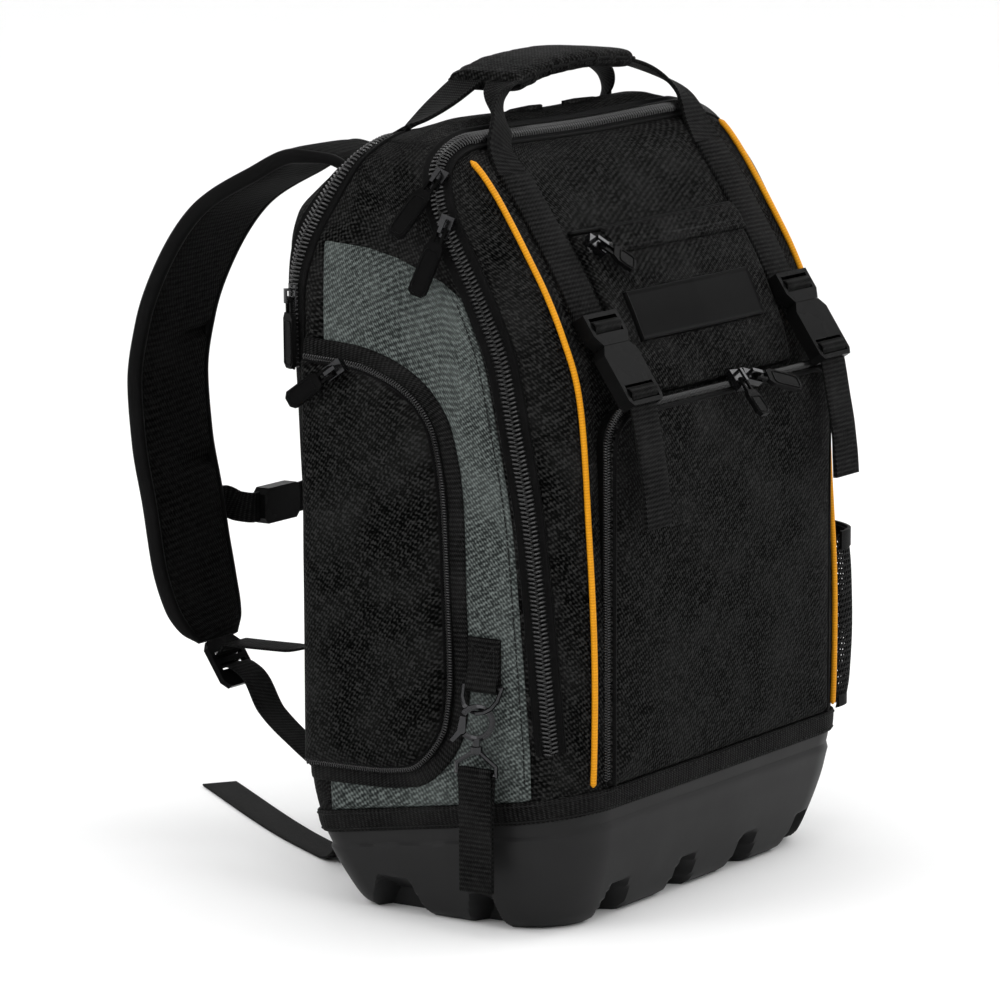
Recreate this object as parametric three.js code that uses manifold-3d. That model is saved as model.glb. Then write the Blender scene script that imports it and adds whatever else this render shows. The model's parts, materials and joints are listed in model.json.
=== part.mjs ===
// Tool backpack: a soft clamshell bag on a moulded base, standing on z = 0.
// Millimetres. The front faces -Y, the wearer's side +Y, and the left side of the photo view is -X.
import * as THREE from 'three';
import { mergeVertices } from 'three/addons/utils/BufferGeometryUtils.js';
import Module from 'manifold-3d';

const wasm = await Module();
wasm.setup();

// Driving dimensions of the bag's form
const bagWidth = 356;
const bagHeight = 497; // floor to crest
const frontReach = 124; // frame origin to the front face
const rearReach = 93; // frame origin to the rear face
const frontCorner = 45; // plan radius
const rearCorner = 22;
const frontCrown = 4; // how far the front face bows out
const noseSteps = 4;
const heelSteps = 2;
const crownSteps = 4;

// Walls, layers and gaps
const fit = 0.3; // gap kept between neighbouring pieces
const clothWall = 2.6;
const bootWall = 3;
const panelThick = 1.2;
const webThick = 1.6;
const webWidth = 31;
const pipeWidth = 3.6;
const pipeRise = 3;

// Base
const joinHeight = 0.1322 * bagHeight; // cloth meets boot here, at y = 0
const joinSlope = -0.161; // the join rises towards the front
const bindingHeight = 14;
const bindingThick = 1.8;
const notchHeight = 24;
const notchDepth = 22;

// Zips
const tapeHalf = 9;
const tapeProud = 0.6;
const pocketZipWidth = 5;
const pocketZipThick = 1.6;
const pocketZipReach = 6; // front pocket's face to the front of its zip

// Front
const pipeX = 146;
const webX = 115;
const webTop = 0.9356 * bagHeight;
const webFoot = 0.7485 * bagHeight;
const seamHeight = 0.8612 * bagHeight;
const upperPocketHalf = 95;
const upperPocketRise = 5;
const badgeWidth = 152;
const badgeHeight = 32;
const badgeMiddle = 0.7565 * bagHeight;
const badgeThick = 2;
const frontPocketHalf = 133;
const frontPocketTop = 0.656 * bagHeight;
const frontPocketFace = 131; // frame origin to the pocket's face
const pocketWall = 2;

// Side pocket and its border
const sidePocketRise = 17;
const borderWidth = 12;
const borderThick = 1.6;

// Handle
const handleRise = 34; // crest to the top of the handle
const handleAhead = 30; // unit of the handle's fore and aft places
const handleThick = 2.4;
const handleWidth = 24;
const gripWidth = 54;
const gripThick = 13;

// Carrying straps
const padWidth = 74;
const padThick = 12;
const padX = 88;
const backPadThick = 12;
const backPadHalf = 140;
const rightReach = 0.86; // the right strap stands out less than the left
const strapWidth = 25;
const lockWidth = 36;
const lockLength = 34;
const lockThick = 4;
const lockBar = 4;
const lockSlot = 4.4;
const lockHead = 9; // lock's top edge to its first slot
const strapThick = 1.3;
const sternumDrop = 0.455; // chest strap's height as a share of bagHeight
const chestBuckle = [40, 24, 10];

// Side leash
const ringWire = 1.5;
const ringWidth = 28;
const ringDrop = 17;
const hookRadius = 10;
const hookWire = 2;
const hookSteps = 16;
const hookTurn = 40; // degrees between the hook and the ring's bar
const leashLength = 79;
const leashWidth = 24;
const leashThick = 5;
const leashSlot = 1.2;
const tabHeight = 30;
const tabWidth = 23;
const tabMiddle = -61.5; // y
const tabFoot = 0.318 * bagHeight; // z of the ring's bar
const tabLoop = 3.5;
const ringLean = 25; // degrees that the hook pushes the ring off the bag
const shankLength = 9;
const eyeDrop = 13;
const eyeSide = 5.5;
const gateLow = -30;
const gateHigh = 36;
const leverThick = 3;
const leverHalf = 1.7;

// Mesh bottle pocket on the right side
const meshFront = -118;
const meshRear = 6;
const meshFoot = 0.1831 * bagHeight;
const meshTop = 0.4205 * bagHeight;
const meshReach = 48;
const meshWall = 1.4;
const hemHeight = 11;
const meshSteps = 10;

// Buckles on the front webbing
const buckleWidth = 38;
const buckleLength = 64;
const buckleThick = 9;
const buckleJoint = 22; // length of the upper half
const buckleTop = 0.7646 * bagHeight;
const tailLength = 76;

// Small hardware
const sliderLength = 14;
const sliderWidth = 9;
const sliderHeight = 4.5;
const bailWidth = 2.4;
const bailReach = 4.6;
const bailRise = 5;
const bailWire = 1.5;
const pullWidth = 12;
const pullLength = 46;
const pullThick = 3;
const pullWire = 1.8;
const pullPlay = 0.5;

// Bag form from the floor up: height, reach of front and rear, half width, the corner radii
// and the crown, each as a share of its driving dimension.
const profile = [
  { up: 0.000, front: 0.755, rear: 0.56, half: 0.862, nose: 0.85, heel: 1.0, crown: 0 },
  { up: 0.016, front: 0.810, rear: 0.61, half: 0.900, nose: 0.95, heel: 1.1, crown: 0 },
  { up: 0.110, front: 0.940, rear: 0.84, half: 0.974, nose: 1.1, heel: 1.1, crown: 0 },
  { up: 0.175, front: 0.978, rear: 0.895, half: 0.985, nose: 1.05, heel: 1.0, crown: 0.2 },
  { up: 0.290, front: 0.980, rear: 0.91, half: 0.990, nose: 1.0, heel: 1.0, crown: 0.6 },
  { up: 0.450, front: 0.963, rear: 0.935, half: 0.998, nose: 1.0, heel: 1.0, crown: 1 },
  { up: 0.600, front: 0.916, rear: 0.96, half: 1.0, nose: 1.0, heel: 1.0, crown: 1 },
  { up: 0.690, front: 0.865, rear: 0.98, half: 1.0, nose: 1.0, heel: 1.0, crown: 1 },
  { up: 0.750, front: 0.778, rear: 0.99, half: 1.0, nose: 0.97, heel: 1.0, crown: 1 },
  { up: 0.800, front: 0.680, rear: 1.0, half: 1.0, nose: 0.92, heel: 1.0, crown: 1 },
  { up: 0.845, front: 0.568, rear: 1.0, half: 0.998, nose: 0.85, heel: 1.0, crown: 0.8 },
  { up: 0.885, front: 0.462, rear: 0.965, half: 0.991, nose: 0.74, heel: 1.0, crown: 0.6 },
  { up: 0.920, front: 0.365, rear: 0.830, half: 0.966, nose: 0.62, heel: 0.95, crown: 0.3 },
  { up: 0.954, front: 0.250, rear: 0.640, half: 0.915, nose: 0.5, heel: 0.85, crown: 0.2 },
  { up: 0.980, front: 0.110, rear: 0.430, half: 0.810, nose: 0.4, heel: 0.8, crown: 0 },
  { up: 0.993, front: 0.030, rear: 0.250, half: 0.680, nose: 0.3, heel: 0.6, crown: 0 },
  { up: 1.000, front: -0.016, rear: 0.130, half: 0.540, nose: 0.1, heel: 0.2, crown: 0 },
];

// Lines seen from the side: distance ahead of the origin as a share of frontReach (behind it is
// negative) and height as a share of bagHeight.
const mainZipLine = [
  { ahead: 0.830, up: -0.1 }, { ahead: 0.825, up: 0.237 }, { ahead: 0.790, up: 0.370 },
  { ahead: 0.738, up: 0.510 }, { ahead: 0.665, up: 0.625 }, { ahead: 0.590, up: 0.715 },
  { ahead: 0.450, up: 0.797 }, { ahead: 0.300, up: 0.865 }, { ahead: 0.190, up: 0.915 },
  { ahead: 0.115, up: 0.970 }, { ahead: 0.090, up: 1.05 },
];
const mainZipFoot = 0.237;
const laptopZipLine = [
  { ahead: -0.655, up: -0.1 }, { ahead: -0.655, up: 0.690 }, { ahead: -0.652, up: 0.790 },
  { ahead: -0.600, up: 0.852 }, { ahead: -0.500, up: 0.905 }, { ahead: -0.400, up: 0.955 },
  { ahead: -0.345, up: 0.980 }, { ahead: -0.320, up: 1.05 },
];
const laptopZipFoot = 0.690;
const panelTopLine = [
  { ahead: 0.240, up: 0.820 }, { ahead: 0.150, up: 0.828 }, { ahead: -0.030, up: 0.845 },
  { ahead: -0.210, up: 0.855 }, { ahead: -0.480, up: 0.860 },
];
const borderLine = [
  { ahead: -0.570, up: 0.735 }, { ahead: -0.270, up: 0.730 }, { ahead: -0.030, up: 0.714 },
  { ahead: 0.175, up: 0.682 }, { ahead: 0.300, up: 0.634 }, { ahead: 0.363, up: 0.547 },
  { ahead: 0.387, up: 0.423 }, { ahead: 0.400, up: 0.322 }, { ahead: 0.370, up: 0.258 },
  { ahead: 0.260, up: 0.209 }, { ahead: 0.080, up: 0.177 }, { ahead: -0.170, up: 0.169 },
  { ahead: -0.570, up: 0.167 },
];

// A pocket's face, ring by ring: how far the outline draws in towards its middle line, and how
// much of the full rise it has there.
const pocketCrown = [
  { inset: 0.00, rise: -1.5 }, { inset: 0.00, rise: 0.36 }, { inset: 0.05, rise: 0.60 },
  { inset: 0.16, rise: 0.80 }, { inset: 0.42, rise: 0.95 }, { inset: 0.75, rise: 1.00 },
];

// Straps: places along the handle from left to right, as shares of webX, handleAhead and
// handleRise above the crest; turn is the angle of the strap's width from X towards Y.
const frontHandle = [
  { across: -1.00, back: -1.34, up: -0.93, turn: 0 }, { across: -0.97, back: -0.98, up: -0.50, turn: 5 },
  { across: -0.87, back: -0.72, up: -0.02, turn: 15 }, { across: -0.70, back: -0.30, up: 0.36, turn: 45 },
  { across: -0.50, back: 0.12, up: 0.60, turn: 80 }, { across: -0.15, back: 0.20, up: 0.76, turn: 90 },
  { across: 0.25, back: 0.20, up: 0.80, turn: 90 }, { across: 0.60, back: 0.18, up: 0.74, turn: 90 },
  { across: 0.84, back: -0.02, up: 0.54, turn: 70 }, { across: 0.97, back: -0.40, up: 0.24, turn: 38 },
  { across: 1.02, back: -0.76, up: -0.10, turn: 10 }, { across: 1.02, back: -1.02, up: -0.52, turn: 0 },
  { across: 1.00, back: -1.36, up: -0.95, turn: 0 },
];
const rearHandle = [
  { across: -1.04, back: 1.62, up: -0.42, turn: 0 }, { across: -1.00, back: 1.45, up: -0.27, turn: 15 },
  { across: -0.88, back: 1.25, up: -0.02, turn: 50 }, { across: -0.69, back: 1.10, up: 0.32, turn: 80 },
  { across: -0.50, back: 1.04, up: 0.60, turn: 90 }, { across: -0.15, back: 1.04, up: 0.82, turn: 90 },
  { across: 0.25, back: 1.04, up: 0.88, turn: 90 }, { across: 0.60, back: 1.04, up: 0.80, turn: 90 },
  { across: 0.82, back: 1.12, up: 0.54, turn: 78 }, { across: 0.97, back: 1.30, up: 0.16, turn: 45 },
  { across: 1.03, back: 1.46, up: -0.20, turn: 12 }, { across: 1.04, back: 1.62, up: -0.42, turn: 0 },
];
const gripPath = [
  { across: -0.53, back: 0.58, up: 0.58, turn: 90 }, { across: -0.15, back: 0.62, up: 0.80, turn: 90 },
  { across: 0.25, back: 0.62, up: 0.85, turn: 90 }, { across: 0.66, back: 0.61, up: 0.75, turn: 90 },
];

// Shoulder pad's middle line: distance behind the origin as a share of strapReach, height as a
// share of bagHeight, and the pad's width and thickness as shares of padWidth and padThick.
const strapReach = 249;
const padLine = [
  { back: 0.295, up: 0.917, width: 0.70, thick: 0.35 }, { back: 0.400, up: 0.943, width: 0.80, thick: 0.6 },
  { back: 0.480, up: 0.945, width: 0.95, thick: 0.9 }, { back: 0.622, up: 0.915, width: 1, thick: 1 },
  { back: 0.783, up: 0.868, width: 1, thick: 1 }, { back: 0.900, up: 0.793, width: 1, thick: 1 },
  { back: 0.972, up: 0.710, width: 1, thick: 1 }, { back: 1.000, up: 0.630, width: 1, thick: 1 },
  { back: 0.988, up: 0.551, width: 1, thick: 1 }, { back: 0.956, up: 0.471, width: 1, thick: 1 },
  { back: 0.928, up: 0.392, width: 1, thick: 1 }, { back: 0.895, up: 0.334, width: 0.92, thick: 1 },
  { back: 0.866, up: 0.304, width: 0.75, thick: 0.9 }, { back: 0.845, up: 0.288, width: 0.5, thick: 0.4 },
];

// Webbing tail below a buckle and the mesh pocket's belly, as shares of tailLength and meshReach
const tailLine = [
  { drop: 0, ahead: 0, thick: 1 }, { drop: 0.30, ahead: 0.06, thick: 1 },
  { drop: 0.62, ahead: 0.12, thick: 1 }, { drop: 0.84, ahead: 0.14, thick: 1.7 },
  { drop: 1.0, ahead: 0.15, thick: 1.9 },
];
const meshBelly = [
  { up: 0, out: 0.70 }, { up: 0.15, out: 0.90 }, { up: 0.45, out: 1.0 }, { up: 0.75, out: 0.94 },
  { up: 1, out: 0.76 },
];

// Notches round the boot's lower edge: middle as a share of half the width or of the reach
const frontNotches = [
  { at: -0.62, width: 38 }, { at: -0.11, width: 32 }, { at: 0.36, width: 30 }, { at: 0.79, width: 30 },
];
const sideNotches = [{ at: 0.40, width: 28 }, { at: -0.13, width: 44 }];

// Colours and finishes, one record for each kind of material
const finishes = {
  cloth: { color: 0x17181a, roughness: 0.9, metalness: 0 },
  panel: { color: 0x545e5e, roughness: 0.85, metalness: 0 },
  piping: { color: 0xf2a516, roughness: 0.6, metalness: 0 },
  webbing: { color: 0x1c1c1e, roughness: 0.85, metalness: 0 },
  boot: { color: 0x303031, roughness: 0.6, metalness: 0 },
  plastic: { color: 0x121213, roughness: 0.45, metalness: 0 },
  zip: { color: 0x101011, roughness: 0.5, metalness: 0 },
  metal: { color: 0x1a1a1b, roughness: 0.35, metalness: 0.9 },
  mesh: { color: 0x141415, roughness: 0.9, metalness: 0 },
  padding: { color: 0x18181a, roughness: 0.95, metalness: 0 },
};

const backpack = new THREE.Group();

// Solids from lists of points and faces, turned the right way out
function solidOf(points, faces) {
  let volume = 0;
  for (const [a, b, c] of faces) {
    volume += points[a].dot(points[b].clone().cross(points[c]));
  }
  const turned = volume < 0 ? faces.map(([a, b, c]) => [a, c, b]) : faces;
  const vertProperties = new Float32Array(points.flatMap((point) => point.toArray()));
  const triVerts = new Uint32Array(turned.flat());
  return new wasm.Manifold(new wasm.Mesh({ numProp: 3, vertProperties, triVerts }));
}

function solidFrom(geometry) {
  geometry.deleteAttribute('normal');
  geometry.deleteAttribute('uv');
  const merged = mergeVertices(geometry, 1e-4);
  const vertProperties = new Float32Array(merged.attributes.position.array);
  const triVerts = new Uint32Array(merged.index.array);
  return new wasm.Manifold(new wasm.Mesh({ numProp: 3, vertProperties, triVerts }));
}

function add(name, solid, finish) {
  const mesh = solid.getMesh();
  const geometry = new THREE.BufferGeometry();
  geometry.setAttribute('position', new THREE.BufferAttribute(new Float32Array(mesh.vertProperties), 3));
  geometry.setIndex(new THREE.BufferAttribute(new Uint32Array(mesh.triVerts), 1));
  geometry.computeVertexNormals();
  const piece = new THREE.Mesh(geometry, new THREE.MeshStandardMaterial(finishes[finish]));
  piece.name = name;
  backpack.add(piece);
}

// Faces of a loft through rings of equal length, closed at both ends by fans
function loftMesh(rings) {
  const count = rings[0].length;
  const points = rings.flat();
  const faces = [];
  for (let row = 0; row + 1 < rings.length; row += 1) {
    for (let step = 0; step < count; step += 1) {
      const next = (step + 1) % count;
      const low = row * count;
      const high = low + count;
      faces.push([low + step, low + next, high + next], [low + step, high + next, high + step]);
    }
  }
  const last = (rings.length - 1) * count;
  for (const [start, flip] of [[0, true], [last, false]]) {
    const middle = new THREE.Vector3();
    for (let step = 0; step < count; step += 1) {
      middle.addScaledVector(points[start + step], 1 / count);
    }
    points.push(middle);
    for (let step = 0; step < count; step += 1) {
      const next = start + (step + 1) % count;
      const ends = flip ? [next, start + step] : [start + step, next];
      faces.push([points.length - 1, ...ends]);
    }
  }
  return { points, faces };
}

function loft(rings) {
  const { points, faces } = loftMesh(rings);
  return solidOf(points, faces);
}

// Prisms of an outline drawn from the side (y, z), from the front (x, z) or from above (x, y)
function prism(outline, depth, across, up, along) {
  const shape = new THREE.Shape(outline.map(([u, v]) => new THREE.Vector2(u, v)));
  const geometry = new THREE.ExtrudeGeometry(shape, { depth, bevelEnabled: false });
  geometry.applyMatrix4(new THREE.Matrix4().makeBasis(across, up, along));
  return geometry;
}

const axisX = new THREE.Vector3(1, 0, 0);
const axisY = new THREE.Vector3(0, 1, 0);
const axisZ = new THREE.Vector3(0, 0, 1);

function sidePrism(outline, lowX, highX) {
  const geometry = prism(outline, highX - lowX, axisY, axisZ, axisX);
  return solidFrom(geometry.translate(lowX, 0, 0));
}

function frontPrism(outline, lowY, highY) {
  const geometry = prism(outline, highY - lowY, axisX, axisZ, axisY.clone().negate());
  return solidFrom(geometry.translate(0, highY, 0));
}

function box(lowX, highX, lowY, highY, lowZ, highZ) {
  const outline = [[lowX, lowZ], [highX, lowZ], [highX, highZ], [lowX, highZ]];
  return frontPrism(outline, lowY, highY);
}

// Parallel of an open line at a distance to its left
function offsetLine(line, distance) {
  return line.map((point, step) => {
    const before = line[Math.max(step - 1, 0)];
    const after = line[Math.min(step + 1, line.length - 1)];
    const first = new THREE.Vector2(point[0] - before[0], point[1] - before[1]).normalize();
    const second = new THREE.Vector2(after[0] - point[0], after[1] - point[1]).normalize();
    const along = first.clone().add(second).normalize();
    const reach = distance / Math.max(along.dot(step ? first : second), 0.5);
    return [point[0] - along.y * reach, point[1] + along.x * reach];
  });
}

function strip(line, half) {
  return [...offsetLine(line, half), ...offsetLine(line, -half).reverse()];
}

function sideLine(rows) {
  return rows.map((row) => [-row.ahead * frontReach, row.up * bagHeight]);
}

// Rounded plan section of the bag at one height
function planRing(row) {
  const half = row.half * bagWidth / 2;
  const front = -row.front * frontReach;
  const rear = row.rear * rearReach;
  const height = row.up * bagHeight;
  const limit = 0.48 * (rear - front);
  const nose = Math.min(row.nose * frontCorner, limit);
  const heel = Math.min(row.heel * rearCorner, limit);
  const corners = [
    { x: nose - half, y: front + nose, radius: nose, from: 2, steps: noseSteps },
    { x: half - nose, y: front + nose, radius: nose, from: 3, steps: noseSteps },
    { x: half - heel, y: rear - heel, radius: heel, from: 0, steps: heelSteps },
    { x: heel - half, y: rear - heel, radius: heel, from: 1, steps: heelSteps },
  ];
  const ring = [];
  corners.forEach((corner, place) => {
    for (let step = 0; step <= corner.steps; step += 1) {
      const angle = (corner.from + step / corner.steps) * Math.PI / 2;
      const x = corner.x + corner.radius * Math.cos(angle);
      ring.push(new THREE.Vector3(x, corner.y + corner.radius * Math.sin(angle), height));
    }
    if (place === 0) {
      const reach = half - nose;
      for (let step = 1; step < crownSteps; step += 1) {
        const share = 2 * step / crownSteps - 1;
        const bow = frontCrown * row.crown * (1 - share * share);
        ring.push(new THREE.Vector3(share * reach, front - bow, height));
      }
    }
  });
  return ring;
}

// The bag's form moved out by a distance along its own normals
const formBase = loftMesh(profile.map(planRing));
const formNormals = formBase.points.map(() => []);
for (const face of formBase.faces) {
  const [a, b, c] = face.map((index) => formBase.points[index]);
  const normal = b.clone().sub(a).cross(c.clone().sub(a)).normalize();
  const sides = [[a, b, c], [b, c, a], [c, a, b]];
  sides.forEach(([at, next, other], corner) => {
    const weight = next.clone().sub(at).angleTo(other.clone().sub(at));
    formNormals[face[corner]].push({ normal, weight });
  });
}
const formCache = new Map();

function form(distance) {
  if (!formCache.has(distance)) {
    const points = formBase.points.map((point, index) => {
      const mean = new THREE.Vector3();
      formNormals[index].forEach(({ normal, weight }) => mean.addScaledVector(normal, weight));
      mean.normalize();
      let least = 1;
      formNormals[index].forEach(({ normal }) => {
        least = Math.min(least, mean.dot(normal));
      });
      return point.clone().addScaledVector(mean, distance / Math.max(least, 0.6));
    });
    formCache.set(distance, solidOf(points, formBase.faces));
  }
  return formCache.get(distance);
}

function layer(low, high) {
  return form(high).subtract(form(low));
}

// Cloth above the join, boot below it
function aboveJoin(shift) {
  const far = 2 * bagHeight;
  const low = [-far, joinHeight + shift - joinSlope * far];
  const high = [far, joinHeight + shift + joinSlope * far];
  return sidePrism([low, high, [far, 2 * far], [-far, 2 * far]], -bagWidth, bagWidth);
}

const joinGap = fit / 2;
const clothZone = aboveJoin(joinGap);
const trimZone = aboveJoin(bindingHeight / 2 + fit); // what stands above the binding
const shell = layer(-clothWall, 0).intersect(clothZone);

// Prism wider than the bag, from an outline seen from the side
function through(outline) {
  return sidePrism(outline, -bagWidth, bagWidth);
}

const mainLine = sideLine(mainZipLine);
const mainZipRun = mainLine.filter((point) => point[1] >= mainZipFoot * bagHeight - 1e-6);
const laptopLine = sideLine(laptopZipLine);
const laptopZipRun = laptopLine.filter((point) => point[1] >= laptopZipFoot * bagHeight - 1e-6);
const farAhead = -3 * frontReach;
const farBehind = 3 * rearReach;

// Zip: its tape and coil as one band between the panels
function zipAlong(run) {
  return layer(-clothWall, tapeProud).intersect(through(strip(run, tapeHalf)));
}

function zipRoom(run) {
  return through(strip(run, tapeHalf + fit));
}

function zoneAhead(line) {
  const edge = offsetLine(line, joinGap);
  const top = edge[edge.length - 1][1];
  return through([...edge, [farAhead, top], [farAhead, edge[0][1]]]);
}

function zoneBehind(line) {
  const edge = offsetLine(line, -joinGap);
  const top = edge[edge.length - 1][1];
  return through([...edge, [farBehind, top], [farBehind, edge[0][1]]]);
}

// Boot: a tray that follows the form, with notches round its lower edge
function notch(middle, width, spread) {
  const half = width / 2 + spread;
  const crown = width / 4 + spread;
  const height = notchHeight + spread;
  return [[middle - half, -fit], [middle + half, -fit], [middle + crown, height], [middle - crown, height]];
}

function notchSolids(spread) {
  const frontFloor = -profile[1].front * frontReach;
  const rearFloor = profile[1].rear * rearReach;
  const halfFloor = profile[1].half * bagWidth / 2;
  const solids = [];
  for (const { at, width } of frontNotches) {
    const outline = notch(at * halfFloor, width, spread);
    solids.push(frontPrism(outline, farAhead, frontFloor + notchDepth + spread));
    solids.push(frontPrism(outline, rearFloor - notchDepth - spread, farBehind));
  }
  for (const { at, width } of sideNotches) {
    const outline = notch(-at * frontReach, width, spread);
    solids.push(sidePrism(outline, -bagWidth, notchDepth + spread - halfFloor));
    solids.push(sidePrism(outline, halfFloor - notchDepth - spread, bagWidth));
  }
  return solids;
}

function makeBoot() {
  let outside = form(0).subtract(aboveJoin(-joinGap));
  let inside = form(-bootWall);
  for (const cut of notchSolids(0)) {
    outside = outside.subtract(cut);
  }
  for (const cut of notchSolids(bootWall)) {
    inside = inside.subtract(cut);
  }
  add('base_boot', outside.subtract(inside), 'boot');
  const half = bindingHeight / 2;
  const band = layer(fit, fit + bindingThick).intersect(aboveJoin(-half)).subtract(aboveJoin(half));
  add('boot_binding', band, 'webbing');
}

// Cloth shells: front, body with its divider, and rear
function makeShells() {
  add('main_zip', zipAlong(mainZipRun), 'zip');
  add('laptop_zip', zipAlong(laptopZipRun), 'zip');
  const front = shell.intersect(zoneAhead(mainLine)).subtract(zipRoom(mainZipRun));
  add('front_shell', front, 'cloth');
  const rear = shell.intersect(zoneBehind(laptopLine)).subtract(zipRoom(laptopZipRun));
  add('rear_shell', rear, 'cloth');
  const dividerY = rearReach * 0.4;
  const divider = box(-bagWidth, bagWidth, dividerY, dividerY + clothWall, 0, bagHeight);
  const body = shell.add(form(-clothWall / 2).intersect(divider).intersect(clothZone));
  const behindMain = body.subtract(through([...offsetLine(mainLine, -joinGap),
    [farAhead, bagHeight * 1.05], [farAhead, -bagHeight * 0.1]]));
  const ahead = behindMain.subtract(through([...offsetLine(laptopLine, joinGap),
    [farBehind, bagHeight * 1.05], [farBehind, -bagHeight * 0.1]]));
  add('body_shell', ahead.subtract(zipRoom(mainZipRun)).subtract(zipRoom(laptopZipRun)), 'cloth');
}

// Grey panels on both sides, behind the main zip
function makeSidePanels() {
  const frontEdge = offsetLine(mainLine, -(tapeHalf + 2 * fit));
  const lowEdge = frontEdge.filter((point) => point[1] < 0.8 * bagHeight);
  const top = sideLine(panelTopLine);
  const rearEdge = top[top.length - 1][0];
  const outline = through([...lowEdge, ...top, [rearEdge, lowEdge[0][1]]]);
  const panels = layer(fit, fit + panelThick).intersect(outline).intersect(trimZone);
  const reach = bagWidth * 0.4;
  const left = box(-bagWidth, -reach, -bagWidth, bagWidth, 0, bagHeight);
  const right = box(reach, bagWidth, -bagWidth, bagWidth, 0, bagHeight);
  add('side_panel_left', panels.intersect(left), 'panel');
  add('side_panel_right', panels.intersect(right), 'panel');
}

// Pocket: a crowned face raised from an outline, hollow behind. place(u, v, rise) puts a point of
// the outline in space and middle(u, v) gives the point that it draws in towards.
function pocketSolid(outline, middle, place, rise, shrink) {
  const rings = pocketCrown.map((row) => outline.map(([u, v]) => {
    const [midU, midV] = middle(u, v);
    const span = Math.hypot(midU - u, midV - v);
    const share = Math.min(row.inset + shrink / span, 0.95);
    return place(u + (midU - u) * share, v + (midV - v) * share, row.rise * rise - shrink);
  }));
  return loft(rings);
}

function pocketShell(outline, middle, place, rise) {
  const outside = pocketSolid(outline, middle, place, rise, 0);
  return outside.subtract(pocketSolid(outline, middle, place, rise, pocketWall));
}

const clamp = (value, low, high) => Math.min(Math.max(value, low), high);
const sideSeat = 2 * fit + panelThick; // what the side pocket stands on

function makeSidePocket() {
  const outer = sideLine(borderLine);
  const border = strip(offsetLine(outer, borderWidth / 2), borderWidth / 2);
  const leftOnly = (outline) => sidePrism(outline, -bagWidth, -bagWidth * 0.4);
  const borderSolid = layer(sideSeat, sideSeat + borderThick).intersect(leftOnly(border));
  add('side_pocket_border', borderSolid.intersect(trimZone), 'webbing');
  const outline = offsetLine(outer, borderWidth + pocketZipThick + 2 * fit);
  const ys = outline.map((point) => point[0]);
  const zs = outline.map((point) => point[1]);
  const middleY = (Math.min(...ys) + Math.max(...ys)) / 2;
  const halfSpan = (Math.max(...ys) - Math.min(...ys)) / 2;
  const middle = (u, v) => [middleY, clamp(v, Math.min(...zs) + halfSpan, Math.max(...zs) - halfSpan)];
  const seatX = bagWidth / 2;
  const place = (u, v, rise) => new THREE.Vector3(-seatX - rise, u, v);
  const pocket = pocketShell(outline, middle, place, sidePocketRise).subtract(form(sideSeat));
  add('side_pocket', pocket.intersect(trimZone), 'cloth');
  const zipLine = offsetLine(outer, borderWidth + pocketZipThick / 2 + fit);
  const zipSolid = sidePrism(strip(zipLine, pocketZipThick / 2), -seatX - pocketZipWidth - sideSeat, -bagWidth * 0.4);
  add('side_pocket_zip', zipSolid.subtract(form(sideSeat)).intersect(trimZone), 'zip');
}

// Front pocket, upper pocket and badge
function archLine(half, foot, top, corner) {
  const line = [[-half, foot]];
  for (let step = 0; step <= 4; step += 1) {
    const angle = step * Math.PI / 8;
    line.push([-half + corner * (1 - Math.cos(angle)), top - corner * (1 - Math.sin(angle))]);
  }
  const right = line.map(([x, z]) => [-x, z]).reverse();
  return [...line, ...right];
}

const pocketCorner = 22;

function makeFront() {
  const foot = joinHeight - joinSlope * frontReach + bindingHeight / 2 + 2 * fit;
  const outline = archLine(frontPocketHalf, foot, frontPocketTop, pocketCorner);
  const halfSpan = (frontPocketTop - foot) / 2;
  const middle = (u, v) => [clamp(u, halfSpan - frontPocketHalf, frontPocketHalf - halfSpan), foot + halfSpan];
  const rise = 12;
  const seatY = frontPocketFace - rise;
  const place = (u, v, up) => new THREE.Vector3(u, -seatY - up, v);
  const pocket = pocketShell(outline, middle, place, rise).subtract(form(fit));
  add('front_pocket', pocket.intersect(trimZone), 'cloth');
  const zipCentre = archLine(frontPocketHalf + pocketZipThick / 2 + fit, foot + 36,
    frontPocketTop + pocketZipThick / 2 + fit, pocketCorner);
  const zipSolid = frontPrism(strip(zipCentre, pocketZipThick / 2), pocketZipReach - frontPocketFace, 0);
  add('front_pocket_zip', zipSolid.subtract(form(fit)), 'zip');

  const low = frontPocketTop + pocketZipThick + 6 * fit;
  const corners = (inset) => [
    [-upperPocketHalf + inset, low + inset], [upperPocketHalf - inset, low + inset],
    [upperPocketHalf - inset, seamHeight - inset], [-upperPocketHalf + inset, seamHeight - inset],
  ];
  const outer = layer(fit, fit + upperPocketRise).intersect(frontPrism(corners(0), farAhead, 0));
  const hollow = form(fit + upperPocketRise - pocketWall).intersect(frontPrism(corners(pocketWall), farAhead, 0));
  add('upper_pocket', outer.subtract(hollow), 'cloth');
  const badgeSeat = 2 * fit + upperPocketRise;
  const half = badgeWidth / 2;
  const badgeBox = box(-half, half, farAhead, 0, badgeMiddle - badgeHeight / 2, badgeMiddle + badgeHeight / 2);
  add('badge', layer(badgeSeat, badgeSeat + badgeThick).intersect(badgeBox), 'plastic');

  for (const [side, name] of [[-1, 'left'], [1, 'right']]) {
    const webBox = box(side * webX - webWidth / 2, side * webX + webWidth / 2, farAhead, 0, webFoot, webTop);
    add(`front_webbing_${name}`, layer(fit, fit + webThick).intersect(webBox), 'webbing');
    const pipeFoot = foot + 2;
    const pipeBox = box(side * pipeX - pipeWidth / 2, side * pipeX + pipeWidth / 2, farAhead, 0,
      pipeFoot, bagHeight * 0.973);
    const pipe = layer(fit, fit + pipeRise).intersect(pipeBox).subtract(zipRoom(mainZipRun));
    add(`piping_${name}`, pipe, 'piping');
  }
}

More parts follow.
